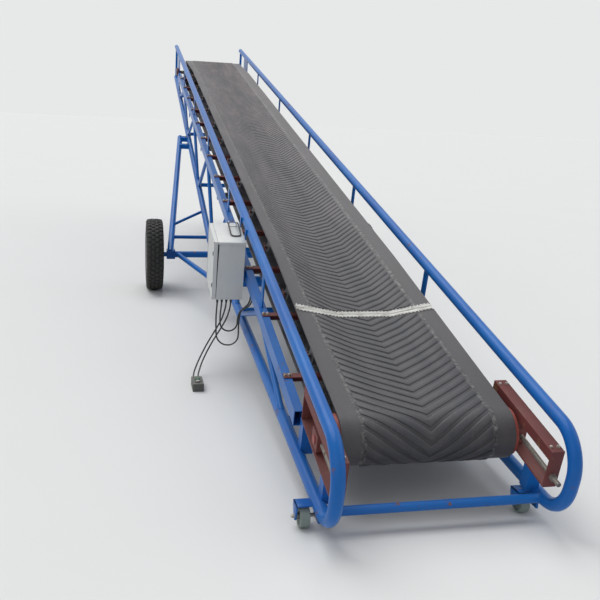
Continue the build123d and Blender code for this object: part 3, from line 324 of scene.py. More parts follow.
def joined(name, pieces):
    """One piece made of several."""
    fresh()
    for piece in pieces:
        piece.select_set(True)
    bpy.context.view_layer.objects.active = pieces[0]
    bpy.ops.object.join()
    pieces[0].name = name
    return pieces[0]


def spread(name, model, places):
    """Copies of a model, each with its own mesh, at the places and joined into one piece."""
    copies = []
    for place in places:
        copy = model.copy()
        copy.data = model.data.copy()
        bpy.context.scene.collection.objects.link(copy)
        copy.data.transform(place)
        copies.append(copy)
    bpy.data.objects.remove(model)
    return joined(name, copies)


def hex_bolt(across=0.017, head=0.0064, washer=0.0016, stud=0.0):
    """Hexagon head with a domed top on a round washer, standing on z 0, with a stud end where it is a nut."""
    fresh()
    radius = across / sqrt(3)
    bpy.ops.mesh.primitive_cylinder_add(vertices=6, radius=radius, depth=head, location=(0, 0, washer + head / 2))
    body = bpy.context.object
    edit(body, "DESELECT")
    bpy.ops.mesh.select_mode(type="FACE")
    leave()
    for face in body.data.polygons:
        face.select = face.normal.z > 0.9
    edit(body, None)
    dome = head * 0.12
    bpy.ops.mesh.inset(thickness=radius * 0.16)
    bpy.ops.transform.translate(value=(0, 0, dome))
    leave()
    bpy.ops.object.transform_apply(location=True, rotation=True, scale=True)
    ring = across * 0.62
    parts = [body, lathe("washer", ((0, 0), (ring, 0), (ring, washer * 0.7), (ring * 0.95, washer), (0, washer)), 18)]
    if stud:
        top = washer + head + dome + stud
        rod = across * 0.3
        parts.append(lathe("stud", ((0, 0), (rod, 0), (rod, top - 0.0015), (rod * 0.8, top), (0, top)), 12))
    return joined("bolt", parts)


def round_curve(name, lines, radius, sides, closed=False, kind="POLY"):
    """Curve object with a round section along lines of points, closed into rings or open with capped ends."""
    curve = bpy.data.curves.new(name, "CURVE")
    curve.dimensions = "3D"
    curve.bevel_depth = radius
    curve.bevel_resolution = sides
    curve.use_fill_caps = not closed
    for line in lines:
        spline = curve.splines.new(kind)
        spline.points.add(len(line) - 1)
        for point, place in zip(spline.points, line):
            point.co = (*place, 1)
        spline.use_cyclic_u = closed
    piece = bpy.data.objects.new(name, curve)
    bpy.context.scene.collection.objects.link(piece)
    return piece


def strands(name, lines, radius, closed=True, sides=1):
    """Round beads along many lines, as one mesh."""
    alone(round_curve(name, lines, radius, sides, closed))
    bpy.ops.object.convert(target="MESH")
    return bpy.context.object


def done(piece, finish, body="frame", smooth=35):
    """Gives a finished piece its shading, material and body."""
    alone(piece)
    if smooth:
        bpy.ops.object.shade_smooth_by_angle(angle=radians(smooth))
    piece.data.materials.clear()
    piece.data.materials.append(FINISHES[finish])
    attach(piece, body)
    return piece


def bolted(name, places, body="frame", **sizes):
    """Bolts or nuts of one size at all the places, as one finished piece."""
    return done(spread(name, hex_bolt(**sizes), places), "bolt_steel", body)


# Shader helpers

def feed(tree, made, feeds):
    """Gives a node's inputs their values, or links them to the sockets that feed them."""
    for name, value in feeds.items():
        if isinstance(value, bpy.types.NodeSocket):
            tree.links.new(value, made.inputs[name])
        else:
            made.inputs[name].default_value = value


def node(tree, kind, feeds=None, **settings):
    """Adds a shader node with its settings and what feeds its inputs."""
    made = tree.nodes.new("ShaderNode" + kind)
    for name, value in settings.items():
        setattr(made, name, value)
    feed(tree, made, feeds or {})
    return made


def maths(tree, operation, first, second=0.0, clamp=False):
    """Output of a Math node."""
    return node(tree, "Math", {0: first, 1: second}, operation=operation, use_clamp=clamp).outputs[0]


def remap(tree, value, low, high, to_low=0.0, to_high=1.0):
    """Output of a Map Range node that is held inside its range."""
    feeds = {"Value": value, "From Min": low, "From Max": high, "To Min": to_low, "To Max": to_high}
    return node(tree, "MapRange", feeds).outputs[0]


def colour_mix(tree, share, first, second):
    """Output of a colour Mix node, whose colours are its inputs 6 and 7."""
    return node(tree, "Mix", {0: share, 6: first, 7: second}, data_type="RGBA").outputs[2]


def toned(colour, share=1.0):
    """Colour made darker or lighter by a share, with its alpha."""
    return (*[part * share for part in colour[:3]], 1)


def object_axis(tree, axis):
    """One axis of the Object coordinates."""
    return node(tree, "SeparateXYZ", {0: node(tree, "TexCoord").outputs["Object"]}).outputs[axis]


def speckle(tree, scale, detail, rough=0.55, stretch=None):
    """Noise on Object coordinates; a stretch is a turn about X and a scale for each axis."""
    place = node(tree, "TexCoord").outputs["Object"]
    if stretch:
        turn, scales = stretch
        place = node(tree, "Mapping", {"Vector": place, "Rotation": (turn, 0, 0), "Scale": scales}).outputs[0]
    feeds = {"Vector": place, "Scale": scale, "Detail": detail, "Roughness": rough}
    return node(tree, "TexNoise", feeds).outputs["Fac"]


def new_group(name, inputs, outputs):
    """Tree of a shader node group with float sockets, the inputs that it is given, and the node of its outputs."""
    tree = bpy.data.node_groups.new(name, "ShaderNodeTree")
    for label, value in inputs:
        socket = tree.interface.new_socket(name=label, in_out="INPUT", socket_type="NodeSocketFloat")
        socket.default_value = value
    for label in outputs:
        tree.interface.new_socket(name=label, in_out="OUTPUT", socket_type="NodeSocketFloat")
    return tree, tree.nodes.new("NodeGroupInput").outputs, tree.nodes.new("NodeGroupOutput")


def weathering_group():
    """Masks for chipped paint, the rust round it, dust that lies on top, and fading."""
    tree, given, out = new_group(
        "Weathering", (("Chips", 0.4), ("Dust", 0.4), ("Grain", 90.0)), ("Chips", "Rust", "Dust", "Fade", "Height")
    )
    patches = speckle(tree, 13.0, 9, 0.66)
    edge = maths(tree, "SUBTRACT", 0.735, maths(tree, "MULTIPLY", given["Chips"], 0.13))
    chips = remap(tree, patches, edge, maths(tree, "ADD", edge, 0.014))
    rust = remap(tree, patches, maths(tree, "SUBTRACT", edge, 0.045), edge)
    up = node(tree, "SeparateXYZ", {0: node(tree, "NewGeometry").outputs["Normal"]}).outputs["Z"]
    lying = remap(tree, up, -0.1, 0.95, 0.12, 1.0)
    clouds = remap(tree, speckle(tree, 6.0, 7, 0.6), 0.36, 0.68, 0.15, 1.0)
    splash = remap(tree, object_axis(tree, "Z"), 0.0, 0.5, 0.9, 0.0)
    fallen = maths(tree, "ADD", maths(tree, "MULTIPLY", lying, clouds), splash)
    dust = maths(tree, "MULTIPLY", fallen, given["Dust"], True)
    fade = remap(tree, speckle(tree, 1.6, 4), 0.32, 0.68)
    pitted = maths(tree, "MULTIPLY", speckle(tree, given["Grain"], 3.0, 0.5), 0.35)
    height = maths(tree, "SUBTRACT", pitted, maths(tree, "MULTIPLY", chips, 0.8))
    feed(tree, out, {"Chips": chips, "Rust": rust, "Dust": dust, "Fade": fade, "Height": height})


def weathered(tree, chips, dust, grain=90.0):
    """Outputs of the weathering group, placed in a material with its own values."""
    feeds = {"Chips": chips, "Dust": dust, "Grain": grain}
    return node(tree, "Group", feeds, node_tree=bpy.data.node_groups["Weathering"]).outputs


def material(name, rough, metallic=0.0):
    """New node material with its tree and its Principled shader."""
    made = bpy.data.materials.new(name + "_finish")
    made.use_nodes = True
    FINISHES[name] = made
    shader = made.node_tree.nodes["Principled BSDF"]
    feed(made.node_tree, shader, {"Roughness": rough, "Metallic": metallic})
    return made.node_tree, shader


def relief(tree, height, distance):
    """Normal of a bumped surface."""
    return node(tree, "Bump", {"Height": height, "Distance": distance, "Strength": 1.0}).outputs[0]


def worn_paint(name, colour, faded, chips, dust, rough, grain=90.0, soil=(0.30, 0.28, 0.25, 1), shine=0.5):
    """Painted steel: faded in patches, chipped to rust, and dusty on top."""
    tree, shader = material(name, rough)
    wear = weathered(tree, chips, dust, grain)
    tone = colour_mix(tree, wear["Fade"], toned(colour), toned(faded))
    stained = colour_mix(tree, maths(tree, "MULTIPLY", wear["Rust"], 0.55), tone, OLD_RUST)
    rusty = colour_mix(tree, speckle(tree, 55.0, 5, 0.7), OLD_RUST, NEW_RUST)
    chipped = colour_mix(tree, wear["Chips"], stained, rusty)
    dusty = colour_mix(tree, maths(tree, "MULTIPLY", wear["Dust"], 0.6), chipped, soil)
    dull = remap(tree, maths(tree, "MAXIMUM", wear["Dust"], wear["Chips"]), 0.0, 1.0, rough, 0.85)
    bumps = relief(tree, wear["Height"], 0.0006)
    feed(tree, shader, {"Base Color": dusty, "Roughness": dull, "Specular IOR Level": shine, "Normal": bumps})


def worn_steel(name, colour, stain, rough, dust, stretch=None):
    """Bare steel with rust stains, brushing and dust."""
    tree, shader = material(name, rough, 0.75)
    wear = weathered(tree, 0.9, dust)
    brushed = speckle(tree, 40.0, 4, 0.6, stretch)
    tone = colour_mix(tree, brushed, toned(colour, 0.72), toned(colour))
    spots = maths(tree, "MAXIMUM", wear["Rust"], remap(tree, speckle(tree, 22.0, 8, 0.7), 0.5, 0.66))
    stained = colour_mix(tree, maths(tree, "MULTIPLY", spots, 0.75), tone, toned(stain))
    dusty = colour_mix(tree, wear["Dust"], stained, (0.28, 0.26, 0.23, 1))
    metal, dull = remap(tree, spots, 0, 1, 0.75, 0.1), remap(tree, spots, 0, 1, rough, 0.8)
    bumps = relief(tree, maths(tree, "ADD", brushed, spots), 0.0003)
    feed(tree, shader, {"Base Color": dusty, "Metallic": metal, "Roughness": dull, "Normal": bumps})


def moulded(name, colour, rough, dust, grain=160.0, soil=(0.27, 0.26, 0.24, 1)):
    """Moulded rubber or plastic: a fine grain, a mottled tone and dust."""
    tree, shader = material(name, rough)
    wear = weathered(tree, 0.0, dust, grain)
    tone = colour_mix(tree, speckle(tree, 18.0, 6, 0.6), toned(colour, 0.75), toned(colour))
    dusty, dull = colour_mix(tree, wear["Dust"], tone, soil), remap(tree, wear["Dust"], 0, 1, rough, 0.9)
    feed(tree, shader, {"Base Color": dusty, "Roughness": dull, "Normal": relief(tree, wear["Height"], 0.0004)})


def belt_finish(name, rubber, dust_tone, painted_groove_shade):
    """Belt rubber: dust trodden in along the run, a tone that grows paler towards the head, paler margins beside the
    ribs, a line of settled dust at the ribs' ends, loose crumbs and a fine moulded grain."""
    tree, shader = material(name, 0.72)
    streaks = speckle(tree, 1.0, 8, 0.62, (-INCLINE, (9.0, 0.8, 4.0)))
    blotches = speckle(tree, 3.2, 8, 0.65)
    grains = speckle(tree, 260.0, 3, 0.6)
    reach = maths(tree, "ABSOLUTE", object_axis(tree, "X"))
    margin = remap(tree, reach, 0.3, 0.325)
    line = remap(tree, maths(tree, "ABSOLUTE", maths(tree, "SUBTRACT", reach, 0.302)), 0.004, 0.016, 1.0, 0.0)
    dusty = maths(tree, "MULTIPLY", remap(tree, streaks, 0.36, 0.7), remap(tree, blotches, 0.3, 0.62, 0.3, 1.0))
    # The belt's tone grows paler towards the head.
    dusty = maths(tree, "MULTIPLY", dusty, remap(tree, object_axis(tree, "Y"), -3.6, 4.2, 0.35, 3.7))
    # The last argument takes dust off the rubber, which darkens the belt's base as painted shade between the ribs.
    lain = maths(tree, "ADD", maths(tree, "MULTIPLY", dusty, 0.55 - painted_groove_shade), maths(tree, "MULTIPLY", margin, 0.14), True)
    tone = colour_mix(tree, lain, toned(rubber), toned(dust_tone))
    settled = maths(tree, "MULTIPLY", line, remap(tree, speckle(tree, 42.0, 7, 0.72), 0.46, 0.64, 0.0, 0.42))
    crumbs = remap(tree, speckle(tree, 150.0, 4, 0.7), 0.66, 0.7, 0.0, 0.5)
    pale = colour_mix(tree, maths(tree, "MAXIMUM", settled, crumbs), tone, (0.42, 0.41, 0.39, 1))
    bumps = relief(tree, maths(tree, "ADD", grains, maths(tree, "MULTIPLY", blotches, 1.5)), 0.0009)
    dull = remap(tree, lain, 0, 1, 0.5, 0.9)
    feed(tree, shader, {"Base Color": pale, "Roughness": dull, "Sheen Weight": 0.12, "Normal": bumps})


def cabinet_finish(name, colour):
    """Powder-coated sheet steel, a little chipped, with rain streaks and dust."""
    tree, shader = material(name, 0.42)
    wear = weathered(tree, 0.12, 0.22, 420.0)
    runs = remap(tree, speckle(tree, 1.0, 6, 0.6, (-INCLINE, (46.0, 46.0, 2.2))), 0.55, 0.8, 0.0, 0.24)
    tone = colour_mix(tree, wear["Fade"], toned(colour), toned(colour, 0.9))
    streaked = colour_mix(tree, runs, tone, (0.36, 0.35, 0.31, 1))
    rusty = colour_mix(tree, wear["Chips"], streaked, (0.2, 0.09, 0.04, 1))
    dusty = colour_mix(tree, maths(tree, "MULTIPLY", wear["Dust"], 0.4), rusty, (0.4, 0.38, 0.34, 1))
    feed(tree, shader, {"Base Color": dusty, "Normal": relief(tree, wear["Height"], 0.0003)})


def floor_finish(name, colour):
    """Plain pale floor with a faint mottle."""
    tree, shader = material(name, 0.85)
    feed(tree, shader, {"Base Color": colour_mix(tree, speckle(tree, 0.8, 5), toned(colour, 0.97), toned(colour))})


# Settings

class ConveyorColours(bpy.types.PropertyGroup):
    """Colours of the conveyor's finishes."""
    blue: bpy.props.FloatVectorProperty(
        name="Frame paint", description="Colour of the painted tubes", subtype="COLOR", default=(0.0, 0.098, 0.4))
    blue_faded: bpy.props.FloatVectorProperty(
        name="Faded paint", description="Frame paint where it has faded", subtype="COLOR", default=(0.001, 0.145, 0.5))
    oxide: bpy.props.FloatVectorProperty(
        name="Primer", description="Red oxide of idlers and take-ups", subtype="COLOR", default=(0.11, 0.02, 0.019))
    rubber: bpy.props.FloatVectorProperty(
        name="Belt", description="Belt rubber without dust", subtype="COLOR", default=(0.025, 0.026, 0.033))
    dust: bpy.props.FloatVectorProperty(
        name="Dust", description="Dust on the belt", subtype="COLOR", default=(0.235, 0.21, 0.218))
    cabinet: bpy.props.FloatVectorProperty(
        name="Cabinet", description="Powder coat of the cabinet", subtype="COLOR", default=(0.66, 0.68, 0.68))
    floor: bpy.props.FloatVectorProperty(
        name="Floor", description="Colour of the stage's floor", subtype="COLOR", default=(0.74, 0.75, 0.75))


class ConveyorBelt(bpy.types.PropertyGroup):
    """Sizes of the belt's ribs and splice."""
    rib_pitch: bpy.props.FloatProperty(
        name="Rib pitch", description="Distance between ribs along the belt", default=0.062, unit="LENGTH")
    rib_half: bpy.props.FloatProperty(
        name="Rib reach", description="From the belt's middle to a rib's end", default=0.3, unit="LENGTH")
    rib_wide: bpy.props.FloatProperty(
        name="Rib width", description="Width of a rib at its foot", default=0.048, unit="LENGTH")
    rib_high: bpy.props.FloatProperty(
        name="Rib height", description="How far a rib stands off the belt", default=0.005, unit="LENGTH")
    rib_sweep: bpy.props.FloatProperty(
        name="Rib sweep", description="Slant of the ribs from straight across", default=radians(35), subtype="ANGLE")
    hook_pitch: bpy.props.FloatProperty(
        name="Hook pitch", description="Distance between the splice's hooks", default=0.0105, unit="LENGTH")


class ConveyorWheels(bpy.types.PropertyGroup):
    """Sizes of the tyres' tread and the wheels' studs."""
    lugs: bpy.props.IntProperty(name="Lugs", description="Tread blocks round each row", default=44)
    groove: bpy.props.FloatProperty(
        name="Groove", description="Depth of the tread", default=0.009, unit="LENGTH")
    studs: bpy.props.IntProperty(name="Studs", description="Wheel studs on each rim", default=5)
    stud_circle: bpy.props.FloatProperty(
        name="Stud circle", description="Radius on which the studs stand", default=0.07, unit="LENGTH")


class ConveyorFittings(bpy.types.PropertyGroup):
    """Sizes of bolts, welds and cords."""
    bolt: bpy.props.FloatProperty(
        name="Bolt", description="Width across the flats of the frame's bolts", default=0.019, unit="LENGTH")
    bead: bpy.props.FloatProperty(
        name="Weld bead", description="Radius of the weld beads", default=0.0035, unit="LENGTH")
    cord: bpy.props.FloatProperty(
        name="Cord", description="Diameter of the leads", default=0.01, unit="LENGTH")


# Stage, finishes and cords

class CONVEYOR_OT_stage(bpy.types.Operator):
    """Floor, soft lamps, pale surroundings and the camera at the reference view"""
    bl_idname = "conveyor.stage"
    bl_label = "Stage"

    def execute(self, context):
        floor_finish("floor", context.scene.conveyor_colours.floor)
        fresh()
        bpy.ops.mesh.primitive_plane_add(size=160, location=(0, 40, 0))
        floor = bpy.context.object
        floor.name = "floor"
        bpy.ops.object.transform_apply(location=True)
        floor.data.materials.append(FINISHES["floor"])
        for name, place, soft, power in (
            # name, where it stands over the conveyor's middle, spread of its light in degrees, strength
            ("sky", (-1.2, 2.6, 6.0), 55, 2.0),
            ("side", (-6.0, -5.0, 5.0), 50, 0.34),
            ("rim", (6.0, -1.0, 5.0), 50, 0.4),
        ):
            bpy.ops.object.light_add(type="SUN", location=place)
            lamp = bpy.context.object
            lamp.name = name
            lamp.data.energy = power
            lamp.data.angle = radians(soft)
            lamp.rotation_euler = (-lamp.location).to_track_quat("-Z", "Y").to_euler()
        world = bpy.data.worlds.new("surroundings")
        world.use_nodes = True
        tree = world.node_tree
        tree.nodes.clear()
        rays = node(tree, "LightPath").outputs
        through = maths(tree, "MAXIMUM", rays["Is Glossy Ray"], rays["Is Transmission Ray"])
        seen = maths(tree, "MAXIMUM", rays["Is Camera Ray"], through)
        light = node(tree, "Background", {"Color": (1, 1, 1, 1), "Strength": 0.33})
        pale = node(tree, "Background", {"Color": (0.8, 0.81, 0.81, 1), "Strength": 1.0})
        mixed = node(tree, "MixShader", {0: seen, 1: light.outputs[0], 2: pale.outputs[0]})
        out = node(tree, "OutputWorld")
        tree.links.new(mixed.outputs[0], out.inputs[0])
        context.scene.world = world
        camera = bpy.data.objects.new("camera", bpy.data.cameras.new("camera"))
        context.scene.collection.objects.link(camera)
        camera.data.sensor_width = 36
        camera.data.lens = 46.52
        camera.data.clip_end = 400
        swing, down, roll = radians(-12.96), radians(13.41), radians(2.77)
        aimed = turned(swing, "Z") @ turned(pi / 2 - down, "X") @ turned(roll, "Z")
        camera.matrix_world = moved(-1.279, -7.721, 1.684) @ aimed
        context.scene.camera = camera
        context.scene.view_settings.view_transform = "Standard"
        return {"FINISHED"}


class CONVEYOR_OT_finishes(bpy.types.Operator):
    """Builds every material and gives each solid the one of its slot"""
    bl_idname = "conveyor.finishes"
    bl_label = "Finishes"

    def execute(self, context):
        tones = context.scene.conveyor_colours
        weathering_group()
        # Paint: colour, faded colour, chips, dust, roughness, grain. Steel: colour, stain, roughness, dust.
        # The frame paint's dust on upward faces is a pale blue-grey: partly real dust, partly a painted highlight along
        # the tops of the tubes.
        worn_paint("blue_paint", tones.blue, tones.blue_faded, 0.6, 0.07, 0.28, soil=(0.4, 0.42, 0.44, 1), shine=0.2)
        worn_paint("red_oxide", tones.oxide, toned(tones.oxide, 1.7), 0.8, 0.22, 0.62, 130.0, (0.33, 0.25, 0.22, 1))
        worn_paint("rim_paint", (0.2, 0.21, 0.22), (0.3, 0.31, 0.31), 0.75, 0.7, 0.5)
        # The belt's base is a darker, less dusty copy of the rib rubber: painted shade in the grooves between the ribs.
        belt_finish("belt_rubber", toned(tones.rubber, 0.6), tones.dust, 0.24)
        belt_finish("rib_rubber", tones.rubber, tones.dust, 0.0)
        worn_steel("splice_steel", (0.62, 0.62, 0.6), (0.36, 0.34, 0.3), 0.5, 0.3)
        worn_steel("bare_steel", (0.36, 0.34, 0.31), (0.15, 0.06, 0.03), 0.45, 0.3)
        worn_steel("drum_steel", (0.36, 0.35, 0.34), (0.14, 0.06, 0.035), 0.5, 0.35, (0.0, (0.1, 1, 1)))
        worn_paint("drum_paint", (0.26, 0.03, 0.018), (0.34, 0.05, 0.03), 0.7, 0.2, 0.45)
        worn_steel("bolt_steel", (0.5, 0.48, 0.43), (0.28, 0.13, 0.05), 0.4, 0.25)
        moulded("roll_polymer", (0.045, 0.045, 0.048), 0.5, 0.5)
        moulded("tyre", (0.011, 0.0135, 0.0135), 0.75, 0.2, 90.0, soil=(0.14, 0.13, 0.11, 1))
        moulded("nylon", (0.22, 0.31, 0.29), 0.55, 0.35, 120.0)
        moulded("gland_nylon", (0.02, 0.02, 0.021), 0.45, 0.15)
        moulded("cable_black", (0.013, 0.013, 0.014), 0.48, 0.1, 300.0)
        moulded("pendant_shell", (0.018, 0.03, 0.026), 0.5, 0.28)
        moulded("seal_black", (0.012, 0.012, 0.012), 0.6, 0.1)
        moulded("button_green", (0.02, 0.2, 0.075), 0.35, 0.12)
        moulded("button_white", (0.5, 0.5, 0.46), 0.4, 0.2)
        cabinet_finish("cabinet_grey", tones.cabinet)
        for name, solid in frame["nodes"].items():
            finish = FINISHES[SLOT_OF_NODE[name]]
            if not solid.material_slots:
                solid.data.materials.append(finish)
            for place in solid.material_slots:
                place.link = "OBJECT"
                place.material = FINISHES["drum_paint"] if name == "tail_drum" else finish
        return {"FINISHED"}


# Points that each cord passes, from its first straight run to its last
OUTER_ROUTE = (
    (-0.699, -2.745, 0.39), (-0.7005, -2.744, 0.333), (-0.699, -2.744, 0.274), (-0.697, -2.746, 0.218),
    (-0.678, -2.752, 0.184), (-0.6455, -2.761, 0.165), (-0.6075, -2.772, 0.165), (-0.575, -2.783, 0.184),
    (-0.556, -2.79, 0.217), (-0.555, -2.796, 0.262), (-0.556, -2.802, 0.31), (-0.556, -2.814, 0.358),
    (-0.554, -2.838, 0.402), (-0.548, -2.872, 0.434), (-0.536, -2.91, 0.452), (-0.519, -2.943, 0.471),
)
INNER_ROUTE = (
    (-0.671, -2.748, 0.396), (-0.675, -2.754, 0.348), (-0.674, -2.758, 0.304), (-0.659, -2.761, 0.277),
    (-0.6325, -2.764, 0.2615), (-0.602, -2.765, 0.2615), (-0.5755, -2.766, 0.277), (-0.5605, -2.768, 0.304),
    (-0.561, -2.773, 0.338), (-0.559, -2.789, 0.374), (-0.553, -2.816, 0.406), (-0.541, -2.847, 0.431),
    (-0.524, -2.876, 0.455), (-0.508, -2.899, 0.483),
)
LEAD_A_ROUTE = (
    (-0.646, -2.757, 0.398), (-0.667, -2.785, 0.35), (-0.7, -2.81, 0.3), (-0.738, -2.83, 0.245),
    (-0.775, -2.85, 0.188), (-0.808, -2.875, 0.132), (-0.836, -2.905, 0.082), (-0.856, -2.94, 0.045),
    (-0.866, -2.983, 0.025), (-0.866, -3.024, 0.025),
)
LEAD_B_ROUTE = (
    (-0.614, -2.75, 0.395), (-0.635, -2.77, 0.345), (-0.668, -2.79, 0.295), (-0.705, -2.807, 0.242),
    (-0.742, -2.825, 0.186), (-0.775, -2.848, 0.131), (-0.803, -2.88, 0.082), (-0.822, -2.922, 0.046),
    (-0.836, -2.974, 0.025), (-0.836, -3.024, 0.025),
)
CORDS = (
    # name, number of the gland it leaves, its route, number of the gland it enters, real length, far end
    ("motor_lead_outer", 0, OUTER_ROUTE, 4, 0.865, "object"),
    ("motor_lead_inner", 1, INNER_ROUTE, 5, 0.644, "object"),
    ("pendant_lead_a", 2, LEAD_A_ROUTE, None, 0.626, "tool"),
    ("pendant_lead_b", 3, LEAD_B_ROUTE, None, 0.64, "tool"),
)


def gland_run(number):
    """The mouth of a gland and the point where its cord's straight run ends."""
    mouth = deck(*GLANDS[number]) - OFF_DECK * GLAND_LONG
    return [mouth, mouth - OFF_DECK * STRAIGHT_RUN]


class CONVEYOR_OT_cords(bpy.types.Operator):
    """The two motor leads that hang in loops and the two leads of the pendant"""
    bl_idname = "conveyor.cords"
    bl_label = "Cords"

    def execute(self, context):
        thick = context.scene.conveyor_fittings.cord
        boot = (
            # radius and height of the ribbed boot over each end
            (0.0051, 0.0), (0.0092, 0.0), (0.0092, 0.003), (0.0082, 0.004), (0.0086, 0.008), (0.0076, 0.009),
            (0.008, 0.013), (0.007, 0.014), (0.0074, 0.018), (0.0065, 0.019), (0.0068, 0.023), (0.006, 0.026),
            (0.0051, 0.026),
        )
        for name, start, route, end, length, far_end in CORDS:
            points = gland_run(start) + [Vector(point) for point in route]
            if end is not None:
                points += gland_run(end)[::-1]
            piece = round_curve(name + "_cord", [points], thick / 2, 4, kind="NURBS")
            piece.data.resolution_u = 16
            spline = piece.data.splines[0]
            spline.order_u = 3
            spline.use_endpoint_u = True
            done(piece, "cable_black", smooth=0)
            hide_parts(name)
            ends = [(points[0], points[1] - points[0]), (points[-1], points[-2] - points[-1])]
            boots = [
                done(lathe(f"{name}_boot_{number}", boot, 20, aim(place, run)), "gland_nylon")
                for number, (place, run) in enumerate(ends, 1)
            ]
            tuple(points[0])
        return {"FINISHED"}


# Belt

def wrapped(piece):
    """Lays a flat piece, drawn across, along and off the belt, on the belt's loop."""
    for corner in piece.data.vertices:
        corner.co = on_belt(*corner.co)
    piece.data.update()
    return piece


class CONVEYOR_OT_ribs(bpy.types.Operator):
    """Herringbone ribs all round the belt, cut away at the splice"""
    bl_idname = "conveyor.ribs"
    bl_label = "Belt ribs"

    def execute(self, context):
        sizes = context.scene.conveyor_belt
        half, sunk, taper = sizes.rib_half, 0.0005, 0.74
        fresh()
        bpy.ops.mesh.primitive_cube_add(size=1)
        rib = bpy.context.object
        rib.name = "belt_ribs"
        rib.data.transform(moved(0, 0, 0.5))
        rib.data.transform(Matrix.Diagonal((2 * half, sizes.rib_wide, sizes.rib_high + sunk, 1)))
        rib.data.transform(moved(0, 0, -sunk))
        for number in range(-10, 11):
            edit(rib)
            bpy.ops.mesh.bisect(plane_co=(0.03 * number, 0, 0), plane_no=(1, 0, 0))
            leave()
        for corner in rib.data.vertices:
            if corner.co.z > 0:
                corner.co.y *= taper
                corner.co.x *= 0.975 if abs(corner.co.x) > half - 0.01 else 1
        round_edges(rib, 0.004, 1)
        for corner in rib.data.vertices:
            corner.co.y += abs(corner.co.x) * tan(sizes.rib_sweep)
        loop = sum(LOOP_PARTS)
        count = round(loop / sizes.rib_pitch)
        modified(rib, "row", "ARRAY", count=count, use_relative_offset=False, use_constant_offset=True,
                 constant_offset_displace=(0, loop / count, 0))
        splice = SPLICE_STATION - TAIL_DRUM[0]
        above = rib.copy()
        above.data = rib.data.copy()
        context.scene.collection.objects.link(above)
        for piece, away, drop in ((rib, -SPLICE_HALF, "clear_outer"), (above, SPLICE_HALF, "clear_inner")):
            edit(piece)
            bpy.ops.mesh.bisect(plane_co=(0, splice + away, 0), plane_no=(0, 1, 0), use_fill=True, **{drop: True})
            leave()
        ribs = wrapped(joined("belt_ribs", [rib, above]))
        modified(ribs, "flat runs", "DECIMATE", decimate_type="DISSOLVE", angle_limit=radians(0.6))
        done(ribs, "rib_rubber", smooth=50)
        return {"FINISHED"}


class CONVEYOR_OT_splice(bpy.types.Operator):
    """Hooks in two rows across the belt and the pin that joins them"""
    bl_idname = "conveyor.splice"
    bl_label = "Belt splice"

    def execute(self, context):
        pitch = context.scene.conveyor_belt.hook_pitch
        middle = SPLICE_STATION - TAIL_DRUM[0]
        count = int(2 * (BELT_HALF - 0.008) / pitch)
        rows = []
        for kind, long in enumerate((0.038, 0.03)):
            plate = block("hook", (-0.0042, 0.0055, 0.0022), (0.0042, long, 0.0046), 0.0012, 1)
            eye = block("eye", (-0.0017, -0.0035, 0.0004), (0.0017, 0.0075, 0.0042), 0.0012, 1)
            places = []
            for number in range(kind, count + 1, 2):
                across = (number - count / 2) * pitch
                places.append(moved(across, middle, 0))
                across += pitch / 2
                if across < BELT_HALF - 0.005:
                    places.append(moved(across, middle, 0) @ turned(pi, "Z"))
            rows.append(spread(f"hook_row_{kind}", joined("splice_hook", [plate, eye]), places))
        done(wrapped(joined("splice_hooks", rows)), "splice_steel")
        pin = [on_belt(0.002 * number, middle, 0.002) for number in range(-198, 199, 4)]
        done(strands("splice_pin", [pin], 0.0017, closed=False), "bare_steel")
        return {"FINISHED"}


# Wheels

def circle_places(count, centre, radius, side, out):
    """Places evenly round a wheel, each with its own Z pointing out along X."""
    for number in range(count):
        turn = 2 * pi * number / count
        point = Vector((centre[0] + side * out, centre[1] + radius * sin(turn), centre[2] + radius * cos(turn)))
        yield aim(point, (side, 0, 0), turn)


def tyre_places(count, x, radius, first=0.0):
    """Places evenly round a tyre that lies on its side, each with its own X pointing outwards."""
    for number in range(count):
        turn = 2 * pi * (number + first) / count
        yield turned(turn, "Z") @ moved(radius, 0, x)


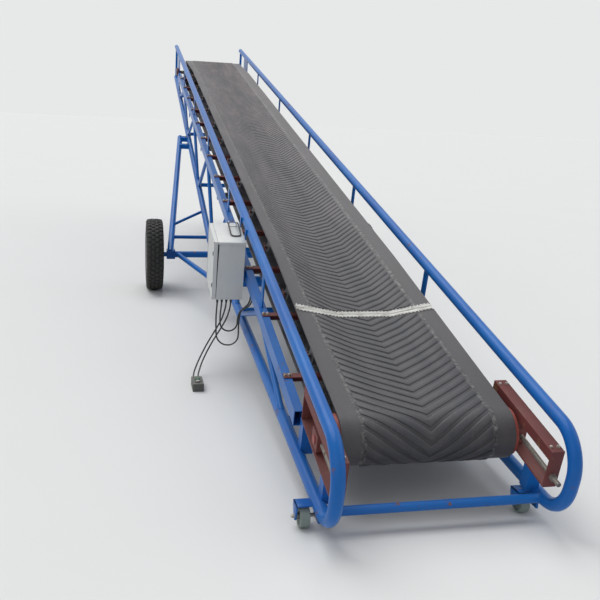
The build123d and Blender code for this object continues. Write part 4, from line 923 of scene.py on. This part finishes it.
class CONVEYOR_OT_wheels(bpy.types.Operator):
    """Tyres with tread blocks, shoulder bars and ringed sidewalls, wheel nuts and valves"""
    bl_idname = "conveyor.wheels"
    bl_label = "Road wheels"

    def execute(self, context):
        sizes = context.scene.conveyor_wheels
        deep = sizes.groove
        outer = [
            # x and radius from the middle of the crown, over shoulder and sidewall, to the bead
            (0.0, TYRE_R - deep), (0.046, TYRE_R - deep - 0.002), (0.058, TYRE_R - deep - 0.006),
            (0.068, TYRE_R - 0.022), (0.0738, TYRE_R - 0.037), (0.0752, TYRE_R - 0.038),
            (0.0762, TYRE_R - 0.043), (0.0755, TYRE_R - 0.0445), (0.0782, TYRE_R - 0.066), (0.079, 0.255),
            (0.079, 0.252), (0.0776, 0.2505), (0.0774, 0.247), (0.0784, 0.2455), (0.0775, 0.232),
            (0.0762, 0.23), (0.0765, 0.214), (0.0748, 0.2125), (0.0746, 0.205),
            (0.0725, 0.196), (0.069, 0.189), (0.062, 0.1795), (0.057, 0.1782),
        ]
        profile = [(r, -x) for x, r in outer[:0:-1]] + [(r, x) for x, r in outer]
        valve = ((0, 0), (0.0055, 0), (0.005, 0.012), (0.0035, 0.014), (0.0035, 0.026), (0.0043, 0.027),
                 (0.0043, 0.036), (0.0035, 0.038), (0, 0.038))
        on_crown = turned(pi / 2, "Y") @ turned(pi, "Z")
        for name, side in (("left", -1), ("right", 1)):
            centre = (side * TRACK_HALF, AXLE_Y, TYRE_R)
            wheel = f"wheel_{name}"
            body = lathe("tyre_body", profile, 96)
            lug = block("lug", (-0.0125, -0.0165, -deep - 0.003), (0.0125, 0.0165, 0.0), 0.0022, 2)
            places = []
            for x, drop, tip, lean, first in (
                # x of a row of blocks, how far it lies in from the crown, its two tilts, and its stagger
                (-0.0545, 0.005, -12, 18, 0.0), (-0.0185, 0.0005, 0, 18, 0.5),
                (0.0185, 0.0005, 0, -18, 0.0), (0.0545, 0.005, 12, -18, 0.5),
            ):
                tilt = on_crown @ turned(radians(tip), "Y") @ turned(radians(lean), "Z")
                places += [place @ tilt for place in tyre_places(sizes.lugs, x, TYRE_R - drop, first)]
            lugs = spread("tyre_lugs", lug, places)
            bar = block("shoulder_bar", (-0.0135, -0.0085, -0.004), (0.0135, 0.0085, 0.003), 0.0024, 1)
            places = []
            for out, first in ((-1, 0.0), (1, 0.5)):
                tilt = turned(out * radians(64), "Y")
                places += [place @ tilt for place in tyre_places(sizes.lugs, out * 0.0635, TYRE_R - 0.0215, first)]
            bars = spread("shoulder_bars", bar, places)
            tyre = joined(f"tyre_{name}_tread", [body, lugs, bars])
            tyre.data.transform(aim(centre, (1, 0, 0)))
            done(tyre, "tyre", wheel, 32)
            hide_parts(f"tyre_{name}")
            studs = circle_places(sizes.studs, centre, sizes.stud_circle, side, 0.0195)
            bolted(f"wheel_nuts_{name}", studs, wheel, across=0.019, head=0.012, washer=0.002, stud=0.005)
            stem = lathe(f"valve_{name}", valve, 14, aim((side * 1.034, AXLE_Y, TYRE_R + 0.128), (side, 0, 0.25)))
            done(stem, "cable_black", wheel)
        return {"FINISHED"}


class CONVEYOR_OT_forks(bpy.types.Operator):
    """Fork plates over the two small tail wheels, with the nuts of their pins"""
    bl_idname = "conveyor.forks"
    bl_label = "Tail wheel forks"

    def execute(self, context):
        half, top, foot_r, thick, edge = 0.034, 0.11, 0.019, 0.006, 0.0012
        turns = [radians(turn) for turn in range(195, 350, 15)]
        cheek = [(-half, top), (-half, top - 0.022)]
        cheek += [(foot_r * cos(turn), TAIL_WHEEL_R + foot_r * sin(turn)) for turn in turns]
        cheek += [(half, top - 0.022), (half, top)]
        upright = Matrix(((0, 0, 1, 0), (1, 0, 0, 0), (0, 1, 0, 0), (0, 0, 0, 1)))
        wheel_y = deck(0, TAIL_WHEEL_STATION, chord_height(TAIL_WHEEL_STATION)).y
        nuts = []
        for name, wheel_x in TAIL_WHEELS:
            outer = wheel_x - 0.038
            low, high = (outer, wheel_y - half, top - thick), (wheel_x + 0.031, wheel_y + half, top)
            plates = [
                slab("cheek", cheek, thick, moved(outer, wheel_y, 0) @ upright, edge),
                block("crown", low, high, edge),
            ]
            done(joined(f"tail_fork_{name}", plates), "blue_paint")
            nuts.append(aim((outer, wheel_y, TAIL_WHEEL_R), (-1, 0, 0)))
        bolted("tail_fork_nuts", nuts, head=0.008, stud=0.004)
        return {"FINISHED"}


# Bolts, welds and other fittings of the frame

def circle(point, axis, radius, steps=20):
    """Points of a circle round an axis."""
    first = axis.orthogonal().normalized()
    second = axis.cross(first)
    for step in range(steps):
        turn = 2 * pi * step / steps
        yield point + (first * cos(turn) + second * sin(turn)) * radius


def seam(point, axis, radius, host_point, host_axis):
    """Closed line where a tube that leaves a rail or chord meets its round surface."""
    axis, host_axis = axis.normalized(), host_axis.normalized()
    run = axis - host_axis * axis.dot(host_axis)
    line = []
    for start in circle(point, axis, radius):
        offset = start - host_point
        away = offset - host_axis * offset.dot(host_axis)
        a, b, c = run.dot(run), 2 * run.dot(away), away.dot(away) - RAIL_R**2
        line.append(start + axis * ((-b + sqrt(max(b * b - 4 * a * c, 0))) / (2 * a)))
    return line


def flat_seam(point, axis, radius, plane_point, normal):
    """Closed line where a tube meets a flat face."""
    axis = axis.normalized()
    return [
        start + axis * ((plane_point - start).dot(normal) / axis.dot(normal)) for start in circle(point, axis, radius)
    ]


def hoop(place, radius, steps):
    """Points of a circle round a place's own Z."""
    turns = [2 * pi * step / steps for step in range(steps)]
    return [place @ Vector((radius * cos(turn), radius * sin(turn), 0)) for turn in turns]


def chord_run(station):
    """Direction of the lower chord at a station, towards the head."""
    ahead, behind = min(station + 0.05, RAIL_END), station - 0.05
    return deck(0, ahead, chord_height(ahead)) - deck(0, behind, chord_height(behind))


class CONVEYOR_OT_welds(bpy.types.Operator):
    """Weld beads where webs, cross tubes, posts, legs and struts meet the frame"""
    bl_idname = "conveyor.welds"
    bl_label = "Welds"

    def execute(self, context):
        bead = context.scene.conveyor_fittings.bead
        rings, lines = [], []
        for side in (-1, 1):
            x = side * SIDE_X
            butt = aim(deck(x, KINK_STATION, 0.0052 - KINK_DEPTH), deck(0, 1, -0.02) - deck(0, 0, 0))
            rings.append(hoop(butt, RAIL_R - 0.0003, 32))
            for station in LOW_STATIONS:
                hub = deck(x, station, chord_height(station))
                for reach in (-1, 1):
                    upper = station + reach * PANEL / 2
                    if not STRINGER_ENDS[0] < upper < STRINGER_ENDS[1]:
                        continue
                    low = deck(x, station + reach * WEB_SHIFT, chord_height(station))
                    high = deck(x, upper - reach * WEB_SHIFT, STRINGER_FOOT)
                    rings.append(seam(low, high - low, WEB_R, hub, chord_run(station)))
                    rings.append(flat_seam(high, low - high, WEB_R, high, OFF_DECK))
            for station in [TAIL_CROSS, *LOW_STATIONS, END_POST]:
                foot = deck(x, station, chord_height(station))
                rings.append(seam(foot, Vector((-side, 0, 0)), CROSS_R, foot, chord_run(station)))
            for station in POST_STATIONS:
                for face in (-0.0045, 0.0045):
                    for height in (STRINGER_TOP + 0.001, -RAIL_R - 0.0005):
                        lines.append([
                            deck(x + face, station + along, height) for along in (-POST_HALF, 0, POST_HALF)
                        ])
            top = deck(x, END_POST, 0)
            foot = deck(x, END_POST, chord_height(END_POST))
            rings.append(seam(foot, top - foot, WEB_R, foot, chord_run(END_POST)))
            rings.append(seam(top, foot - top, WEB_R, top, ALONG_DECK))
            leg_foot = Vector((side * LEG_FOOT[0], AXLE_Y, LEG_FOOT[1]))
            leg_top = deck(side * LEG_TOP[0], LEG_TOP[1], chord_height(LEG_TOP[1]))
            beam_top, up = Vector((0, 0, BEAM_TOP)), Vector((0, 0, 1))
            rings.append(flat_seam(leg_foot, leg_top - leg_foot, LEG_R, beam_top, up))
        done(strands("weld_rings", rings, bead), "blue_paint")
        done(strands("weld_lines", lines, bead, closed=False), "blue_paint")
        return {"FINISHED"}


class CONVEYOR_OT_bolts(bpy.types.Operator):
    """Bolts of idlers, clamps, take-ups, brackets and straps, and the threads of the take-up screws"""
    bl_idname = "conveyor.bolts"
    bl_label = "Bolts"

    def execute(self, context):
        across = context.scene.conveyor_fittings.bolt
        bolted("idler_bolts", [
            aim(deck(side * x, station, STRINGER_TOP + 0.006), OFF_DECK, station)
            for station in IDLERS for side in (-1, 1) for x in (0.487, 0.509)
        ], across=0.016, head=0.007, washer=0.0018, stud=0.004)
        head_axis = FLAT_TOP - BELT_THICK - HEAD_DRUM[1]
        bolted("clamp_bolts", [
            aim(deck(side * (SIDE_X + 0.03), HEAD_DRUM[0] + along, head_axis + rise), (side, 0, 0), along)
            for side in (-1, 1) for along in (-0.055, 0.055) for rise in (-0.028, 0.028)
        ], across=across, head=0.008)
        bolted("takeup_bolts", [
            aim(deck(side * TAKEUP_X + x, station, TAKEUP_TOP), OFF_DECK, station)
            for side in (-1, 1) for x in (-0.016, 0.016) for station in (-0.13, 0.37)
        ], across=0.013, head=0.0055)
        tail_axis = FLAT_TOP - BELT_THICK - TAIL_DRUM[1]
        pitch, root_r, first_turn = 0.0036, 0.0098, -0.223
        threads = [
            hoop(aim(deck(side * TAKEUP_X, pitch * number + first_turn, tail_axis), ALONG_DECK), root_r, 12)
            for side in (-1, 1) for number in range(97)
        ]
        done(strands("takeup_threads", threads, 0.0013, sides=0), "bare_steel", smooth=0)
        bolted("bracket_bolts", [
            aim(deck(side * BRACKET_X, station, chord_height(station) + 0.025), OFF_DECK, station)
            for side in (-1, 1) for station in BRACKET_STATIONS
        ], across=across, head=0.008, washer=0.002, stud=0.004)
        bolted("strap_bolts", [
            aim(deck(STRAP_FACE, CABINET_START + along, height), (1, 0, 0), height)
            for along in (0.06, 0.29) for height in (-0.1, -0.2, -0.24)
        ], across=0.013, head=0.0055)
        return {"FINISHED"}


# Cabinet and pendant

class CONVEYOR_OT_cabinet(bpy.types.Operator):
    """Rain cap with its bail, a black strip of painted shadow in the door's gap, door rim, quarter-turn locks and gland
    plate of the control cabinet
    """
    bl_idname = "conveyor.cabinet"
    bl_label = "Control cabinet"

    def execute(self, context):
        start, end, top, foot = CABINET_START, CABINET_START + CABINET_LONG, CABINET_TOP, CABINET_FOOT
        near, far, fold = CABINET_OUTER + 0.001, CABINET_X + 0.004, start - 0.008
        cap = [
            block("rain_cap", (near, fold, top), (far, end + 0.003, top + 0.003), 0.0014, 2, DECK),
            block("cap_lip", (near, start - 0.0095, top - 0.012), (far, fold, top + 0.0028), 0.0006, 1, DECK),
        ]
        done(joined("cabinet_cap", cap), "cabinet_grey")

        # A black strip on the front face at the door's edge, tapering downwards: painted shadow in the gap between door
        # and body.
        gap_shadow_outline = ((0, 0), (0.009, 0), (0.0035, -0.2), (0.0015, -0.37), (0, -0.37))
        edge_on = moved(CABINET_OUTER, start - 0.0001, top - 0.014) @ turned(pi / 2, "X")
        done(slab("door_gap_shadow", gap_shadow_outline, 0.0016, DECK @ edge_on), "seal_black")

        rim, gap = 0.012, 0.001
        strips = [
            block("door_rim", (DOOR_FACE - 0.0022, along, low), (DOOR_FACE, to_along, to_high), 0.001, 2, DECK)
            for along, low, to_along, to_high in (
                (start + gap, foot + gap, end - gap, foot + rim),
                (start + gap, top - rim, end - gap, top - gap),
                (start + gap, foot + gap, start + rim, top - gap),
                (end - rim, foot + gap, end - gap, top - gap),
            )
        ]
        done(joined("door_rim", strips), "cabinet_grey", "cabinet_door")

        rose = ((0, 0), (0.0145, 0), (0.0145, 0.002), (0.012, 0.0042), (0.009, 0.0042), (0.0085, 0.0032), (0, 0.0032))
        locks = []
        for drop in (0.09, 0.31):
            place = DECK @ moved(DOOR_FACE, start + 0.03, top - drop) @ turned(-pi / 2, "Y")
            locks.append(lathe("lock_rose", rose, 24, place))
            locks.append(block("lock_slot", (-0.0015, -0.0075, 0.003), (0.0015, 0.0075, 0.0052), 0.0006, 1, place))
        done(joined("door_lock", locks), "seal_black", "cabinet_door")

        on_cap = DECK @ moved(CABINET_X - 0.05, start + 0.29, top + 0.003)
        bracket = [
            block("lug", (left, -0.012, 0), (right, 0.012, high), 0.001, 2, on_cap)
            for left, right, high in ((-0.03, 0.03, 0.004), (-0.027, -0.0225, 0.032), (0.0225, 0.027, 0.032))
        ]
        done(joined("cap_lug", bracket), "cabinet_grey")
        bail = (
            # x, along and height on the rain cap
            (-0.032, 0.29, 0.026), (-0.0175, 0.29, 0.026), (-0.0175, 0.24, 0.03), (-0.0175, 0.17, 0.024),
            (-0.0185, 0.115, 0.0125), (-0.024, 0.099, 0.0095), (-0.036, 0.093, 0.0085), (-0.064, 0.093, 0.0085),
            (-0.076, 0.099, 0.0095), (-0.0815, 0.115, 0.0125), (-0.0825, 0.17, 0.024), (-0.0825, 0.24, 0.03),
            (-0.0825, 0.29, 0.026), (-0.068, 0.29, 0.026),
        )
        bar = [deck(CABINET_X + x, start + along, top + rise) for x, along, rise in bail]
        done(strands("cap_bail", [bar], 0.0045, False, 2), "seal_black")

        plate = block("gland_plate", (-0.712, 2.075, foot - 0.0025), (-0.588, 2.145, foot), 0.0008, 1, DECK)
        done(plate, "seal_black")
        return {"FINISHED"}


def on_pendant(across, along, sunk=0.0):
    """Place on the pendant's top face."""
    return moved(PENDANT[0] + across, PENDANT[1] + along, PENDANT[2] - sunk)


class CONVEYOR_OT_pendant(bpy.types.Operator):
    """Push buttons, bezels and cover screws of the pendant on the floor"""
    bl_idname = "conveyor.pendant"
    bl_label = "Pendant"

    def execute(self, context):
        bezel = ((0.0128, 0.0), (0.0185, 0.0), (0.0185, 0.0022), (0.0168, 0.0042), (0.0132, 0.0042), (0.0128, 0.003))
        cap = ((0, 0.0), (0.0128, 0.0), (0.0132, 0.001), (0.0132, 0.0078), (0.0118, 0.0092), (0.006, 0.0098), (0, 0.01))
        screw = ((0, 0), (0.0032, 0), (0.003, 0.0012), (0, 0.0016))
        buttons = (("green", 0.012), ("white", -0.032))
        places = [on_pendant(0, along) for _, along in reversed(buttons)]
        done(spread("bezels", lathe("bezel", bezel, 28), places), "gland_nylon")
        for tone, along in buttons:
            name = f"button_{tone}"
            done(lathe(name, cap, 28, on_pendant(0, along)), name)
        corners = [on_pendant(across, along, 0.0004) for across in (-0.024, 0.024) for along in (-0.062, 0.055)]
        done(spread("cover_screws", lathe("screw", screw, 12), corners), "bolt_steel")
        return {"FINISHED"}


class CONVEYOR_PT_dressing(bpy.types.Panel):
    """Buttons and settings for the conveyor's dressing"""
    bl_idname = "CONVEYOR_PT_dressing"
    bl_label = "Conveyor"
    bl_space_type = "VIEW_3D"
    bl_region_type = "UI"
    bl_category = "Conveyor"

    def draw(self, context):
        for operator in OPERATORS:
            self.layout.operator(operator.bl_idname)
        for name in SETTINGS:
            group = getattr(context.scene, name)
            box = self.layout.box()
            for key in group.__annotations__:
                box.prop(group, key)


OPERATORS = (
    CONVEYOR_OT_stage, CONVEYOR_OT_finishes, CONVEYOR_OT_cords, CONVEYOR_OT_ribs, CONVEYOR_OT_splice,
    CONVEYOR_OT_wheels, CONVEYOR_OT_forks, CONVEYOR_OT_welds, CONVEYOR_OT_bolts, CONVEYOR_OT_cabinet,
    CONVEYOR_OT_pendant,
)
SETTINGS = {
    "conveyor_colours": ConveyorColours,
    "conveyor_belt": ConveyorBelt,
    "conveyor_wheels": ConveyorWheels,
    "conveyor_fittings": ConveyorFittings,
}


def register():
    """Registers the settings, the operators and the panel."""
    for kind in (*SETTINGS.values(), *OPERATORS, CONVEYOR_PT_dressing):
        bpy.utils.register_class(kind)
    for name, kind in SETTINGS.items():
        setattr(bpy.types.Scene, name, bpy.props.PointerProperty(type=kind))


def unregister():
    """Removes what register added."""
    for name in SETTINGS:
        delattr(bpy.types.Scene, name)
    for kind in (CONVEYOR_PT_dressing, *reversed(OPERATORS), *SETTINGS.values()):
        bpy.utils.unregister_class(kind)


def main():
    """Runs every operator in order."""
    register()
    bpy.ops.conveyor.stage()
    bpy.ops.conveyor.finishes()
    bpy.ops.conveyor.cords()
    bpy.ops.conveyor.ribs()
    bpy.ops.conveyor.splice()
    bpy.ops.conveyor.wheels()
    bpy.ops.conveyor.forks()
    bpy.ops.conveyor.welds()
    bpy.ops.conveyor.bolts()
    bpy.ops.conveyor.cabinet()
    bpy.ops.conveyor.pendant()
    bpy.context.view_layer.update()


if __name__ == "__main__":
    main()
